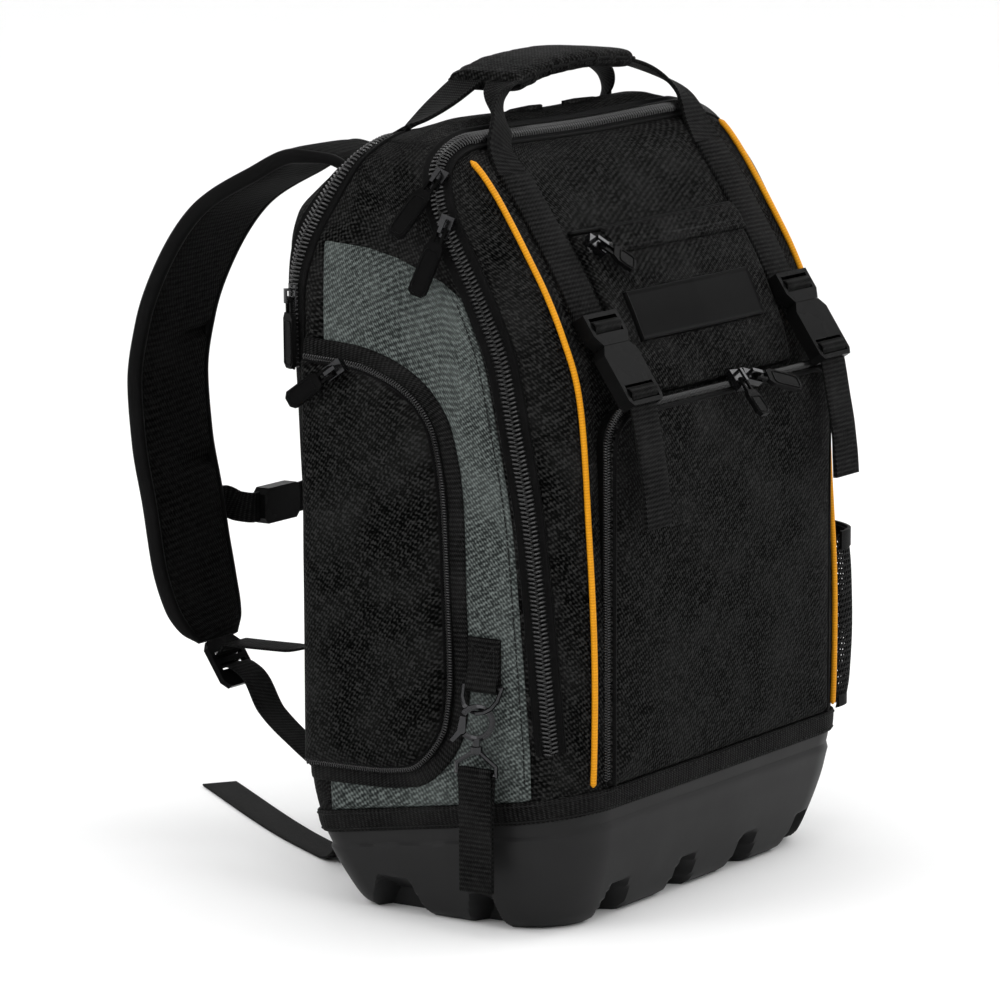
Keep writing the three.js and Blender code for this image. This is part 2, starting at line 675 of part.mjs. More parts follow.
// Ribbon through sections, each with a centre, a width direction, a width and a thickness;
// round = 0 gives a flat webbing, more cuts its corners off
function ribbonRings(sections, round, spread) {
  return sections.map((section, step) => {
    const before = sections[Math.max(step - 1, 0)].at;
    const after = sections[Math.min(step + 1, sections.length - 1)].at;
    const along = after.clone().sub(before).normalize();
    const wide = section.wide.clone().addScaledVector(along, -section.wide.dot(along)).normalize();
    const thick = along.clone().cross(wide);
    const w = section.width / 2 + spread;
    const t = section.thick / 2 + spread;
    const cut = round * t;
    const corners = round ? [
      [-w, -t + cut], [-w + cut, -t], [w - cut, -t], [w, -t + cut],
      [w, t - cut], [w - cut, t], [-w + cut, t], [-w, t - cut],
    ] : [[-w, -t], [w, -t], [w, t], [-w, t]];
    return corners.map(([a, b]) => section.at.clone().addScaledVector(wide, a).addScaledVector(thick, b));
  });
}

function ribbon(sections, round = 0, spread = 0) {
  return loft(ribbonRings(sections, round, spread));
}

function turned(angle) {
  const radians = angle * Math.PI / 180;
  return new THREE.Vector3(Math.cos(radians), Math.sin(radians), 0);
}

function makeHandle() {
  const sections = (rows, width, thick) => rows.map((row) => ({
    at: new THREE.Vector3(row.across * webX, row.back * handleAhead, bagHeight + row.up * handleRise),
    wide: turned(row.turn),
    width,
    thick,
  }));
  const front = sections(frontHandle, handleWidth, handleThick);
  const rear = sections(rearHandle, handleWidth, handleThick);
  const webRoom = box(-bagWidth, bagWidth, farAhead, 0, 0, webTop + fit);
  const form0 = form(fit);
  add('handle_front', ribbon(front).subtract(form0).subtract(webRoom), 'webbing');
  add('handle_rear', ribbon(rear).subtract(form0).subtract(form(tapeProud + fit).intersect(zipRoom(laptopZipRun))),
    'webbing');
  const grip = ribbon(sections(gripPath, gripWidth, gripThick), 0.7);
  add('handle_grip', grip.subtract(ribbon(front, 0, fit)).subtract(ribbon(rear, 0, fit)), 'webbing');
}

// Frame of a small fitting: across = hinge axis, down = the way it hangs, out = away from the bag
function fittingFrame(at, out, down) {
  const normal = new THREE.Vector3(...out).normalize();
  const hang = new THREE.Vector3(...down);
  hang.addScaledVector(normal, -hang.dot(normal)).normalize();
  const across = hang.clone().cross(normal);
  return new THREE.Matrix4().makeBasis(across, hang, normal).setPosition(new THREE.Vector3(...at));
}

function placed(geometry, frame) {
  return solidFrom(geometry.clone().applyMatrix4(frame));
}

function blockGeometry(lowX, highX, lowY, highY, lowZ, highZ) {
  const geometry = new THREE.BoxGeometry(highX - lowX, highY - lowY, highZ - lowZ);
  return geometry.translate((lowX + highX) / 2, (lowY + highY) / 2, (lowZ + highZ) / 2);
}

// Zip sliders with a bail, and the hard pulls that hinge on them
const bailOpen = bailRise - bailWire;
const pivotHeight = sliderHeight + bailOpen / 2;
const pivotDown = bailReach - bailWire - pullWire / 2 - pullPlay;
const eyeInside = bailWidth / 2 + pullPlay;
const eyeLength = 2 * bailReach;

function sliderSolid(frame) {
  const body = placed(blockGeometry(-sliderWidth / 2, sliderWidth / 2, -sliderLength / 2, sliderLength / 2,
    0, sliderHeight), frame);
  const bailOutside = placed(blockGeometry(-bailWidth / 2, bailWidth / 2, -bailReach, bailReach,
    sliderHeight - fit, sliderHeight + bailRise), frame);
  const bailInside = placed(blockGeometry(-bailWidth, bailWidth, bailWire - bailReach, bailReach - bailWire,
    sliderHeight, sliderHeight + bailOpen), frame);
  return body.add(bailOutside.subtract(bailInside));
}

function pullSolid(frame, length) {
  const eye = blockGeometry(-eyeInside - pullWire, eyeInside + pullWire, pivotDown - pullWire / 2,
    pivotDown + eyeLength + pullWire, pivotHeight - pullWire / 2, pivotHeight + pullWire / 2);
  const hole = blockGeometry(-eyeInside, eyeInside, pivotDown + pullWire / 2, pivotDown + eyeLength,
    pivotHeight - pullWire, pivotHeight + pullWire);
  const shape = new THREE.Shape();
  const half = pullWidth / 2;
  const top = pivotDown + eyeLength;
  shape.moveTo(-half + 2, top);
  shape.lineTo(half - 2, top);
  shape.lineTo(half, top + 4);
  shape.lineTo(half, length - 3);
  shape.lineTo(half - 3, length);
  shape.lineTo(3 - half, length);
  shape.lineTo(-half, length - 3);
  shape.lineTo(-half, top + 4);
  const tab = new THREE.ExtrudeGeometry(shape, { depth: pullThick, bevelEnabled: false });
  tab.translate(0, 0, pivotHeight - pullThick / 2);
  return placed(eye, frame).subtract(placed(hole, frame)).add(placed(tab, frame));
}

// Rows of the bag's form between which a height lies, blended
function formRow(height) {
  const up = height / bagHeight;
  const index = clamp(profile.findIndex((row) => row.up > up), 1, profile.length - 1);
  const low = profile[index - 1];
  const high = profile[index];
  const share = (up - low.up) / (high.up - low.up);
  return Object.fromEntries(Object.keys(low).map((key) => [key, low[key] + share * (high[key] - low[key])]));
}

function frontPoint(x, height) {
  const row = formRow(height);
  const reach = row.half * bagWidth / 2 - row.nose * frontCorner;
  const bow = frontCrown * row.crown * Math.max(1 - (x / reach) ** 2, 0);
  return new THREE.Vector3(x, -row.front * frontReach - bow, height);
}

function leftPoint(y, height) {
  const row = formRow(height);
  const half = row.half * bagWidth / 2;
  const nose = row.nose * frontCorner;
  const heel = row.heel * rearCorner;
  const pastFront = Math.max(nose - row.front * frontReach - y, 0);
  const pastRear = Math.max(y - row.rear * rearReach + heel, 0);
  const [past, radius] = pastRear > 0 ? [pastRear, heel] : [pastFront, nose];
  const inward = radius - Math.sqrt(Math.max(radius ** 2 - past ** 2, 0));
  return new THREE.Vector3(inward - half, y, height);
}

// Point and outward normal on the bag, from a function of two places on it
function seatOn(surface, u, v, lift) {
  const step = 3;
  const alongU = surface(u + step, v).sub(surface(u - step, v));
  const alongV = surface(u, v + step).sub(surface(u, v - step));
  const out = alongU.cross(alongV).normalize();
  const at = surface(u, v);
  if (out.dot(new THREE.Vector3(at.x, at.y, 0)) < 0) {
    out.negate();
  }
  return { at: at.addScaledVector(out, lift), out };
}

function lineAt(line, height) {
  const index = Math.max(line.findIndex((point) => point[1] > height), 1);
  const [low, high] = [line[index - 1], line[index]];
  return low[0] + (high[0] - low[0]) * (height - low[1]) / (high[1] - low[1]);
}

// One row for each slider: the line and height, or the place, that it sits on, and how it hangs
const zipSeat = tapeProud + fit;
const sliders = [
  { name: 'main_upper', line: mainLine, up: 0.937, lift: zipSeat, hang: [0, 0.36, -0.93], length: 46 },
  { name: 'main_lower', line: mainLine, up: 0.885, lift: zipSeat, hang: [0, 0.30, -0.95], length: 46 },
  { name: 'laptop', line: laptopLine, up: 0.785, lift: zipSeat - 1.1, hang: [0, 0.02, -1], length: 46 },
];

function makeSliders() {
  const rows = sliders.map(({ name, line, up, lift, hang, length }) => {
    const height = up * bagHeight;
    return { name, hang, length, ...seatOn(leftPoint, lineAt(line, height), height, lift) };
  });
  const border = sideLine(borderLine);
  rows.push({
    name: 'side_pocket',
    at: new THREE.Vector3(-bagWidth / 2 - 0.8 * sidePocketRise, border[1][0] + 6, border[1][1] - borderWidth - 2),
    out: new THREE.Vector3(-1, 0, 0),
    hang: [0, 0.82, -0.57],
    length: 40,
  });
  const edgeOut = new THREE.Vector3(0, -0.75, 0.66);
  const edge = new THREE.Vector3(0, pocketZipReach - frontPocketFace, frontPocketTop + pocketZipThick + fit);
  edge.addScaledVector(edgeOut, fit);
  rows.push({ name: 'front_pocket_left', at: edge.clone().setX(10), out: edgeOut, hang: [-0.1, -0.66, -0.75], length: 30 });
  rows.push({ name: 'front_pocket_right', at: edge.clone().setX(27), out: edgeOut, hang: [0.93, -0.2, -0.3], length: 42 });
  rows.push({
    name: 'upper_pocket',
    hang: [0.7, -0.4, -0.5],
    length: 30,
    ...seatOn(frontPoint, 12 - upperPocketHalf, seamHeight - 10, upperPocketRise + 2.5 * fit),
  });
  for (const { name, at, out, hang, length } of rows) {
    const frame = fittingFrame(at.toArray(), out.toArray(), hang);
    add(`slider_${name}`, sliderSolid(frame), 'metal');
    add(`pull_${name}`, pullSolid(frame, length), 'plastic');
  }
}

// Flat plate drawn across and down a fitting's frame, with square holes
function plate(outline, low, high, frame, holes = []) {
  const shape = new THREE.Shape(outline.map(([u, v]) => new THREE.Vector2(u, v)));
  const geometry = new THREE.ExtrudeGeometry(shape, { depth: high - low, bevelEnabled: false });
  let solid = placed(geometry.translate(0, 0, low), frame);
  for (const [half, from, to] of holes) {
    solid = solid.subtract(placed(blockGeometry(-half, half, from, to, low - 1, high + 1), frame));
  }
  return solid;
}

// Side-release buckles that bridge from the front panel to the pocket's face, and their tails
function makeBuckles() {
  for (const [side, name] of [[-1, 'left'], [1, 'right']]) {
    const { at } = seatOn(frontPoint, side * webX, buckleTop, webThick + 3 * fit);
    const drop = buckleTop - frontPocketTop;
    const down = [0, -(frontPocketFace + 2 + at.y), -drop];
    const out = [0, -drop, frontPocketFace + 2 + at.y];
    const frame = fittingFrame(at.toArray(), out, down);
    const half = buckleWidth / 2;
    const slot = webWidth / 2;
    const plugOutline = [[-half, 0], [half, 0], [half, 15], [half - 5, buckleJoint], [5 - half, buckleJoint], [-half, 15]];
    add(`buckle_plug_${name}`, plate(plugOutline, 0, buckleThick, frame, [[slot, 3, 7], [slot, 10, 14]]), 'plastic');
    const low = buckleJoint + fit;
    const high = buckleLength;
    const socketOutline = [[5 - half, low], [half - 5, low], [half, low + 6], [half, high - 4], [half - 3, high],
      [3 - half, high], [-half, high - 4], [-half, low + 6]];
    const socket = plate(socketOutline, 0, buckleThick, frame, [[slot, high - 14, high - 10], [slot, high - 7, high - 3]]);
    add(`buckle_socket_${name}`, socket, 'plastic');
    const start = new THREE.Vector3(0, high + 2 * fit, buckleThick / 2).applyMatrix4(frame);
    const tail = tailLine.map((row) => ({
      at: start.clone().add(new THREE.Vector3(0, -row.ahead * tailLength, -row.drop * tailLength)),
      wide: axisX,
      width: webWidth - 2,
      thick: webThick * row.thick,
    }));
    add(`buckle_tail_${name}`, ribbon(tail), 'webbing');
  }
}

// Mesh bottle pocket: a belly open at the top, closed behind by the bag, and its hem
function meshRing(out, shrink, height) {
  const seatFront = pipeX + pipeWidth / 2 + 2;
  const seatRear = bagWidth / 2;
  const ring = [];
  for (let step = 0; step <= meshSteps; step += 1) {
    const angle = Math.PI * step / meshSteps;
    const share = (1 - Math.cos(angle)) / 2;
    const base = seatFront + (seatRear - seatFront) * share;
    const reach = (meshReach * out - shrink) * Math.sin(angle) ** 0.45;
    const y = meshFront + shrink + (meshRear - meshFront - 2 * shrink) * share;
    ring.push(new THREE.Vector3(base + Math.max(reach, 0), y, height));
  }
  ring.push(new THREE.Vector3(seatFront - 8, meshRear - shrink, height));
  ring.push(new THREE.Vector3(seatFront - 8, meshFront + shrink, height));
  return ring;
}

function meshSolid(shrink, low, high) {
  const rows = meshBelly.map((row) => ({ out: row.out, height: meshFoot + row.up * (meshTop - meshFoot) }));
  rows[0].height += low;
  rows[rows.length - 1].height += high;
  return loft(rows.map((row) => meshRing(row.out, shrink, row.height)));
}

function makeMeshPocket() {
  const seat = form(sideSeat);
  const belly = meshSolid(0, 0, 0).subtract(meshSolid(meshWall, meshWall, 2)).subtract(seat);
  add('mesh_pocket', belly.intersect(trimZone), 'mesh');
  const collar = box(0, bagWidth, -bagWidth, bagWidth, meshTop - hemHeight, meshTop);
  const hem = meshSolid(-fit - borderThick, 0, 1).subtract(meshSolid(-fit, -1, 2)).intersect(collar);
  const rearLimit = box(0, bagWidth, meshFront, meshRear, 0, bagHeight);
  add('mesh_pocket_hem', hem.subtract(seat).intersect(rearLimit), 'webbing');
}

// Padded back panel with two vertical channels
function makeBackPanel() {
  const foot = meshFoot;
  const top = 0.88 * bagHeight;
  const corner = 24;
  const outline = [
    [corner - backPadHalf, foot], [backPadHalf - corner, foot], [backPadHalf, foot + corner],
    [backPadHalf, top - corner], [backPadHalf - corner, top], [corner - backPadHalf, top],
    [-backPadHalf, top - corner], [-backPadHalf, foot + corner],
  ];
  let pad = layer(fit, fit + backPadThick).intersect(frontPrism(outline, rearReach / 2, farBehind));
  for (const side of [-1, 1]) {
    const channel = box(side * 48 - 5, side * 48 + 5, rearReach / 2, farBehind, foot + corner, top - corner);
    pad = pad.subtract(channel.subtract(form(backPadThick / 2)));
  }
  add('back_panel', pad, 'padding');
}

// Shoulder pads, ladder locks and the webbing from the bag's foot through the lock to its tail
function strapY(side, y) {
  return side < 0 ? y : rearReach + (y - rearReach) * rightReach;
}

const leftTail = [
  { x: -84, y: 153, z: 142 }, { x: -76, y: 133, z: 145 }, { x: -73, y: 119, z: 138 },
  { x: -72, y: 114, z: 115 }, { x: -72, y: 113, z: 60 }, { x: -71.5, y: 116, z: 18 },
  { x: -69, y: 124, z: 5 }, { x: -62, y: 136, z: 1.6 }, { x: -25, y: 197, z: 1.2 }, { x: 66, y: 325, z: 1.2 },
];
const rightTail = [
  { x: 84, y: 150, z: 142 }, { x: 76, y: 132, z: 145 }, { x: 73, y: 119, z: 138 },
  { x: 72, y: 114, z: 115 }, { x: 72, y: 113, z: 60 }, { x: 73, y: 116, z: 18 },
  { x: 78, y: 123, z: 5 }, { x: 88, y: 131, z: 1.6 }, { x: 150, y: 168, z: 1.2 }, { x: 215, y: 206, z: 1.2 },
];
const anchorLine = [{ x: 119, y: 77, z: 66 }, { x: 116, y: 96, z: 72 }, { x: 108, y: 130, z: 87 }, { x: 98, y: 160, z: 102 }];

function makeStrap(side, name, tailPoints) {
  const pad = padLine.map((row) => ({
    at: new THREE.Vector3(side * padX, strapY(side, row.back * strapReach), row.up * bagHeight),
    wide: axisX,
    width: row.width * padWidth,
    thick: row.thick * padThick,
  }));
  add(`shoulder_pad_${name}`, ribbon(pad, 0.6).subtract(form(fit)), 'padding');
  const end = pad[pad.length - 1].at;
  const along = end.clone().sub(pad[pad.length - 2].at).normalize();
  const out = along.clone().cross(axisX);
  if (out.y < 0) {
    out.negate();
  }
  const lockAt = end.clone().addScaledVector(along, 2 * fit).addScaledVector(out, -lockThick / 2);
  const frame = fittingFrame(lockAt.toArray(), out.toArray(), along.toArray());
  const half = lockWidth / 2;
  const slotHalf = strapWidth / 2 + 1;
  const first = lockHead;
  const second = lockHead + lockSlot + lockBar;
  const outline = [[-half + 5, 0], [half - 5, 0], [half, 5], [half, lockLength - 5], [half - 5, lockLength],
    [5 - half, lockLength], [-half, lockLength - 5], [-half, 5]];
  const holes = [[slotHalf, first, first + lockSlot], [slotHalf, second, second + lockSlot]];
  add(`ladder_lock_${name}`, plate(outline, 0, lockThick, frame, holes), 'plastic');
  const clear = strapThick / 2 + 2 * fit;
  const local = (down, rise) => new THREE.Vector3(0, down, rise).applyMatrix4(frame);
  const through1 = first + lockSlot / 2;
  const through2 = second + lockSlot / 2;
  const points = [
    ...anchorLine.map((point) => new THREE.Vector3(side * point.x, strapY(side, point.y), point.z)),
    local(through2 + 9, -clear - 7), local(through2 + 1, -clear - 1), local(through2, lockThick / 2),
    local(through2 - 1.4, lockThick + clear), local(through1 + 1.4, lockThick + clear),
    local(through1, lockThick / 2), local(through1 - 1, -clear - 1), local(through1 - 3, -clear - 8),
    ...tailPoints.map((point) => new THREE.Vector3(point.x, point.y > 145 ? strapY(side, point.y) : point.y, point.z)),
  ];
  const floorFrom = points.length - 3;
  const sections = points.map((at, step) => {
    const run = points[Math.min(step + 1, points.length - 1)].clone().sub(points[Math.max(step - 1, 0)]);
    const onFloor = step >= floorFrom - 1;
    const wide = onFloor ? new THREE.Vector3(run.y, -run.x, 0) : axisX.clone();
    return { at, wide, width: strapWidth, thick: strapThick };
  });
  sections[floorFrom - 2].wide = sections[floorFrom - 1].wide.clone().normalize().add(axisX).normalize();
  add(`strap_webbing_${name}`, ribbon(sections).subtract(form(fit)), 'webbing');
}

function makeChestStrap() {
  const height = sternumDrop * bagHeight;
  const padY = 0.948 * strapReach;
  const inner = padX - padWidth / 2 - fit;
  const [long, tall, deep] = chestBuckle;
  const leftEnd = new THREE.Vector3(-inner, padY, height);
  const rightEnd = new THREE.Vector3(inner, strapY(1, padY), height);
  const middle = leftEnd.clone().lerp(rightEnd, 0.5).setZ(height - 7);
  const frame = fittingFrame(middle.toArray(), [0, 1, 0], [0, 0, -1]);
  const half = long / 2;
  const outline = [[-half, 4 - tall / 2], [4 - half, -tall / 2], [half - 4, -tall / 2], [half, 4 - tall / 2],
    [half, tall / 2 - 4], [half - 4, tall / 2], [4 - half, tall / 2], [-half, tall / 2 - 4]];
  add('sternum_buckle', plate(outline, -deep / 2, deep / 2, frame), 'plastic');
  for (const [end, sign, name] of [[leftEnd, -1, 'left'], [rightEnd, 1, 'right']]) {
    const near = middle.clone().add(new THREE.Vector3(sign * (half + fit), 0, 0));
    const straight = new THREE.Vector3(sign * -5, 0, 0);
    const places = [end, end.clone().add(straight), near.clone().sub(straight), near];
    const sections = places.map((at) => ({ at, wide: axisZ, width: 20, thick: 3 }));
    add(`sternum_webbing_${name}`, ribbon(sections), 'webbing');
  }
}

// Wire bent into a closed flat loop
function loopTube(points, flat, radius, sides) {
  const count = points.length;
  const rings = points.map((point, step) => {
    const before = points[(step + count - 1) % count];
    const after = points[(step + 1) % count];
    const first = point.clone().sub(before).normalize();
    const second = after.clone().sub(point).normalize();
    const along = first.clone().add(second).normalize();
    const side = along.clone().cross(flat).normalize();
    const stretch = 1 / Math.max(along.dot(first), 0.6);
    return Array.from({ length: sides }, (unused, turn) => {
      const angle = 2 * Math.PI * (turn + 0.5) / sides;
      return point.clone().addScaledVector(side, radius * stretch * Math.cos(angle))
        .addScaledVector(flat, radius * Math.sin(angle));
    });
  });
  const faces = [];
  for (let row = 0; row < count; row += 1) {
    for (let step = 0; step < sides; step += 1) {
      const next = (step + 1) % sides;
      const low = row * sides;
      const high = ((row + 1) % count) * sides;
      faces.push([low + step, low + next, high + next], [low + step, high + next, high + step]);
    }
  }
  return solidOf(rings.flat(), faces);
}

function cylinderGeometry(radius, length, sides) {
  return new THREE.CylinderGeometry(radius, radius, length, sides);
}

// Side leash: a sewn tab, its ring, a swivel hook with a sprung lever, and a webbing loop
function makeLeash() {
  const seat = leftPoint(tabMiddle, tabFoot).x - sideSeat;
  const barX = seat - tabLoop - fit;
  const circle = (radius, sides) => Array.from({ length: sides }, (unused, step) => {
    const angle = 2 * Math.PI * (step + 0.5) / sides;
    return [barX + radius * Math.cos(angle), tabFoot + radius * Math.sin(angle)];
  });
  const lowY = tabMiddle - tabWidth / 2;
  const highY = tabMiddle + tabWidth / 2;
  const strapPlate = box(seat - 2.6, seat + 3, lowY, highY, tabFoot, tabFoot + tabHeight);
  const tab = strapPlate.add(frontPrism(circle(tabLoop, 12), lowY, highY));
  const hole = frontPrism(circle(ringWire + 0.6, 12), lowY - 1, highY + 1);
  add('ring_tab', tab.subtract(hole).subtract(form(sideSeat)), 'webbing');

  const lean = ringLean * Math.PI / 180;
  const dropAxis = new THREE.Vector3(-Math.sin(lean), 0, -Math.cos(lean));
  const bar = new THREE.Vector3(barX, tabMiddle, tabFoot);
  const ringPoints = [[-ringWidth / 2, 0], [ringWidth / 2, 0]];
  for (let step = 1; step < 8; step += 1) {
    const angle = Math.PI * step / 8;
    ringPoints.push([ringWidth / 2 * Math.cos(angle), ringDrop * Math.sin(angle) ** 0.8]);
  }
  const ring = ringPoints.map(([u, v]) => bar.clone().addScaledVector(axisY, u).addScaledVector(dropAxis, v));
  add('d_ring', loopTube(ring, axisY.clone().cross(dropAxis), ringWire, 6), 'metal');

  const turn = hookTurn * Math.PI / 180;
  const across = new THREE.Vector3(-Math.sin(turn), Math.cos(turn), 0);
  const flat = across.clone().cross(axisZ);
  const ringFoot = bar.clone().addScaledVector(dropAxis, ringDrop);
  const rest = hookRadius - hookWire - ringWire - 2 * fit;
  const centre = ringFoot.clone().setZ(ringFoot.z - rest);
  const frame = new THREE.Matrix4().makeBasis(across, axisZ, flat).setPosition(centre);
  const onHook = (angle, radius = hookRadius) => {
    const radians = angle * Math.PI / 180;
    return new THREE.Vector3(radius * Math.cos(radians), radius * Math.sin(radians), 0);
  };
  const loopPoints = Array.from({ length: hookSteps }, (unused, step) => onHook(step * 360 / hookSteps).applyMatrix4(frame));
  const degrees = (length) => length / hookRadius * 180 / Math.PI;
  const wedgeFrom = onHook(gateLow - degrees(leverHalf + fit), 3 * hookRadius);
  const wedgeTo = onHook(gateHigh, 3 * hookRadius);
  const wedge = plate([[0, 0], [wedgeFrom.x, wedgeFrom.y], [3 * hookRadius, 0], [wedgeTo.x, wedgeTo.y]],
    -2 * hookWire, 2 * hookWire, frame);
  const shank = cylinderGeometry(2.4, shankLength, 8).translate(0, -hookRadius - shankLength / 2, 0);
  const collar = cylinderGeometry(4, 4, 10).translate(0, -hookRadius - shankLength + 2, 0);
  const eyeTop = -hookRadius - shankLength;
  const eyeHalf = leashWidth / 2 + ringWire + 3 * fit;
  const eyePlane = new THREE.Matrix4().makeBasis(axisY, axisZ, axisX).setPosition(centre);
  const eyePoints = [[-3, eyeTop], [-eyeHalf, eyeTop - eyeDrop + eyeSide], [-eyeHalf, eyeTop - eyeDrop],
    [eyeHalf, eyeTop - eyeDrop], [eyeHalf, eyeTop - eyeDrop + eyeSide], [3, eyeTop]]
    .map(([u, v]) => new THREE.Vector3(u, v, 0).applyMatrix4(eyePlane));
  const hook = loopTube(loopPoints, flat, hookWire, 6).subtract(wedge)
    .add(placed(shank, frame)).add(placed(collar, frame)).add(loopTube(eyePoints, axisX, ringWire, 6));
  add('snap_hook', hook, 'metal');

  const pivot = onHook(gateLow);
  const tip = onHook(gateHigh - degrees(2 * fit));
  const reach = tip.clone().sub(pivot);
  const leverFrame = frame.clone().multiply(new THREE.Matrix4().makeTranslation(pivot.x, pivot.y, 0));
  const side = new THREE.Vector3(-reach.y, reach.x, 0).normalize().multiplyScalar(leverHalf);
  const lever = [[side.x, side.y], [-side.x * 0.4 - 1.6, -side.y - 1.2], [1.2, -leverHalf], [6, -6.5], [8, -5],
    [3.4, 0.6], [reach.x - side.x, reach.y - side.y - 0.6], [reach.x + side.x, reach.y + side.y - 1.2]];
  add('hook_lever', plate(lever, -leverThick / 2, leverThick / 2, leverFrame), 'metal');

  const barZ = centre.z + eyeTop - eyeDrop;
  const loopRadius = ringWire + 0.6 + webThick;
  const footZ = barZ + loopRadius - leashLength;
  const outer = [];
  const inner = [];
  for (let step = 0; step <= 8; step += 1) {
    const angle = Math.PI * step / 8;
    outer.push([centre.x + loopRadius * Math.cos(angle), barZ + loopRadius * Math.sin(angle)]);
    inner.push([centre.x + (loopRadius - webThick) * Math.cos(angle), barZ + (loopRadius - webThick) * Math.sin(angle)]);
  }
  outer.push([centre.x - leashThick / 2, barZ - 9], [centre.x - leashThick / 2, footZ],
    [centre.x + leashThick / 2, footZ], [centre.x + leashThick / 2, barZ - 9]);
  inner.push([centre.x - leashSlot / 2, barZ - 9], [centre.x - leashSlot / 2, footZ + 4],
    [centre.x + leashSlot / 2, footZ + 4], [centre.x + leashSlot / 2, barZ - 9]);
  const leashLow = tabMiddle - leashWidth / 2;
  const leash = frontPrism(outer, leashLow, leashLow + leashWidth)
    .subtract(frontPrism(inner, leashLow - 1, leashLow + leashWidth + 1));
  add('leash_loop', leash, 'webbing');
}

makeBoot();
makeShells();
makeSidePanels();
makeSidePocket();
makeFront();
makeHandle();
makeSliders();
makeBuckles();
makeMeshPocket();
makeBackPanel();
makeStrap(-1, 'left', leftTail);
makeStrap(1, 'right', rightTail);
makeChestStrap();
makeLeash();

export default backpack;
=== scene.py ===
# Tool backpack: its cloth, webbing, zips, moulded base and hardware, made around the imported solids.
# Lengths are millimetres until putMesh turns them into metres. The front faces -y and the wearer +y.
import json
import math

import bpy
import numpy as np
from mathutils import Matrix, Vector


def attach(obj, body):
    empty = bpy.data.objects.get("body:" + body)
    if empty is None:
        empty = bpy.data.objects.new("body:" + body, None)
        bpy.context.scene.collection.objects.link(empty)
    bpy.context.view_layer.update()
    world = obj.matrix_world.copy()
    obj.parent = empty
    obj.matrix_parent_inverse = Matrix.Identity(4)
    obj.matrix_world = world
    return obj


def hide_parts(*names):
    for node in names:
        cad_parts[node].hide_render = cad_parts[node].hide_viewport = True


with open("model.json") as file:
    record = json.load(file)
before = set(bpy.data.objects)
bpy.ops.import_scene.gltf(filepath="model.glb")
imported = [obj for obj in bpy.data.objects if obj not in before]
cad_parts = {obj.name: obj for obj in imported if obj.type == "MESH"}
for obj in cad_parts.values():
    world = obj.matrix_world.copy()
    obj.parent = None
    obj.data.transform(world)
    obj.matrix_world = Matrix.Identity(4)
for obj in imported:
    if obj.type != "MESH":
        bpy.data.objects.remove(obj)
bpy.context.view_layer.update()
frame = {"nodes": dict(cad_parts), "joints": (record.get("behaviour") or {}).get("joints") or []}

metre = 0.001  # one millimetre
bag = {
    "width": 356, "height": 497, "front": 124, "rear": 93, "nose": 45, "heel": 22, "crown": 4,
    "joinHeight": 65.7, "joinSlope": -0.161, "puff": 1.5, "webX": 115, "pipeX": 146,
}

# Bag form
# One row for each height: up, front, rear, half, nose, heel, crown, as shares of the sizes above
bagRows = np.array([
    [0.000, 0.755, 0.560, 0.862, 0.85, 1.00, 0.0], [0.016, 0.810, 0.610, 0.900, 0.95, 1.10, 0.0],
    [0.110, 0.940, 0.840, 0.974, 1.10, 1.10, 0.0], [0.175, 0.978, 0.895, 0.985, 1.05, 1.00, 0.2],
    [0.290, 0.980, 0.910, 0.990, 1.00, 1.00, 0.6], [0.450, 0.963, 0.935, 0.998, 1.00, 1.00, 1.0],
    [0.600, 0.916, 0.960, 1.000, 1.00, 1.00, 1.0], [0.690, 0.865, 0.980, 1.000, 1.00, 1.00, 1.0],
    [0.750, 0.778, 0.990, 1.000, 0.97, 1.00, 1.0], [0.800, 0.680, 1.000, 1.000, 0.92, 1.00, 1.0],
    [0.845, 0.568, 1.000, 0.998, 0.85, 1.00, 0.8], [0.885, 0.462, 0.965, 0.991, 0.74, 1.00, 0.6],
    [0.920, 0.365, 0.830, 0.966, 0.62, 0.95, 0.3], [0.954, 0.250, 0.640, 0.915, 0.50, 0.85, 0.2],
    [0.980, 0.110, 0.430, 0.810, 0.40, 0.80, 0.0], [0.993, 0.030, 0.250, 0.680, 0.30, 0.60, 0.0],
    [1.000, -0.016, 0.130, 0.540, 0.10, 0.20, 0.0], [1.001, -0.050, 0.060, 0.020, 0.01, 0.01, 0.0],
])


# Cubic through the points (xs, ys) that never overshoots them: slopes are harmonic means.
def curveThrough(x, xs, ys):
    gap = np.diff(xs)
    rise = np.diff(ys) / gap
    slope = np.zeros(len(xs))
    same = rise[1:] * rise[:-1] > 0
    total = np.where(same, rise[1:] + rise[:-1], 1)
    slope[1:-1] = np.where(same, 2 * rise[1:] * rise[:-1] / total, 0)
    slope[0], slope[-1] = rise[0], rise[-1]
    at = np.clip(np.searchsorted(xs, x, side="right") - 1, 0, len(xs) - 2)
    h = gap[at]
    u = (x - xs[at]) / h
    return (ys[at] * (1 + 2 * u) * (1 - u) ** 2 + ys[at + 1] * u * u * (3 - 2 * u)
            + h * slope[at] * u * (1 - u) ** 2 - h * slope[at + 1] * u * u * (1 - u))


rowSteps = np.arange(len(bagRows), dtype=float)
denseSteps = np.linspace(0, len(bagRows) - 1, 3401)
denseRows = np.stack([curveThrough(denseSteps, rowSteps, bagRows[:, c]) for c in range(7)], 1)
rowSizes = np.array([bag["height"], bag["front"], bag["rear"], bag["width"] / 2, bag["nose"], bag["heel"],
                     bag["crown"]])


# Height, reaches, half width, radii and crown of the bag in millimetres at a level along its rows.
def rowAt(level):
    return [np.interp(level, denseSteps, denseRows[:, c]) * rowSizes[c] for c in range(7)]


def levelAt(height):
    return np.interp(np.asarray(height, float) / bag["height"], denseRows[:, 0], denseSteps)


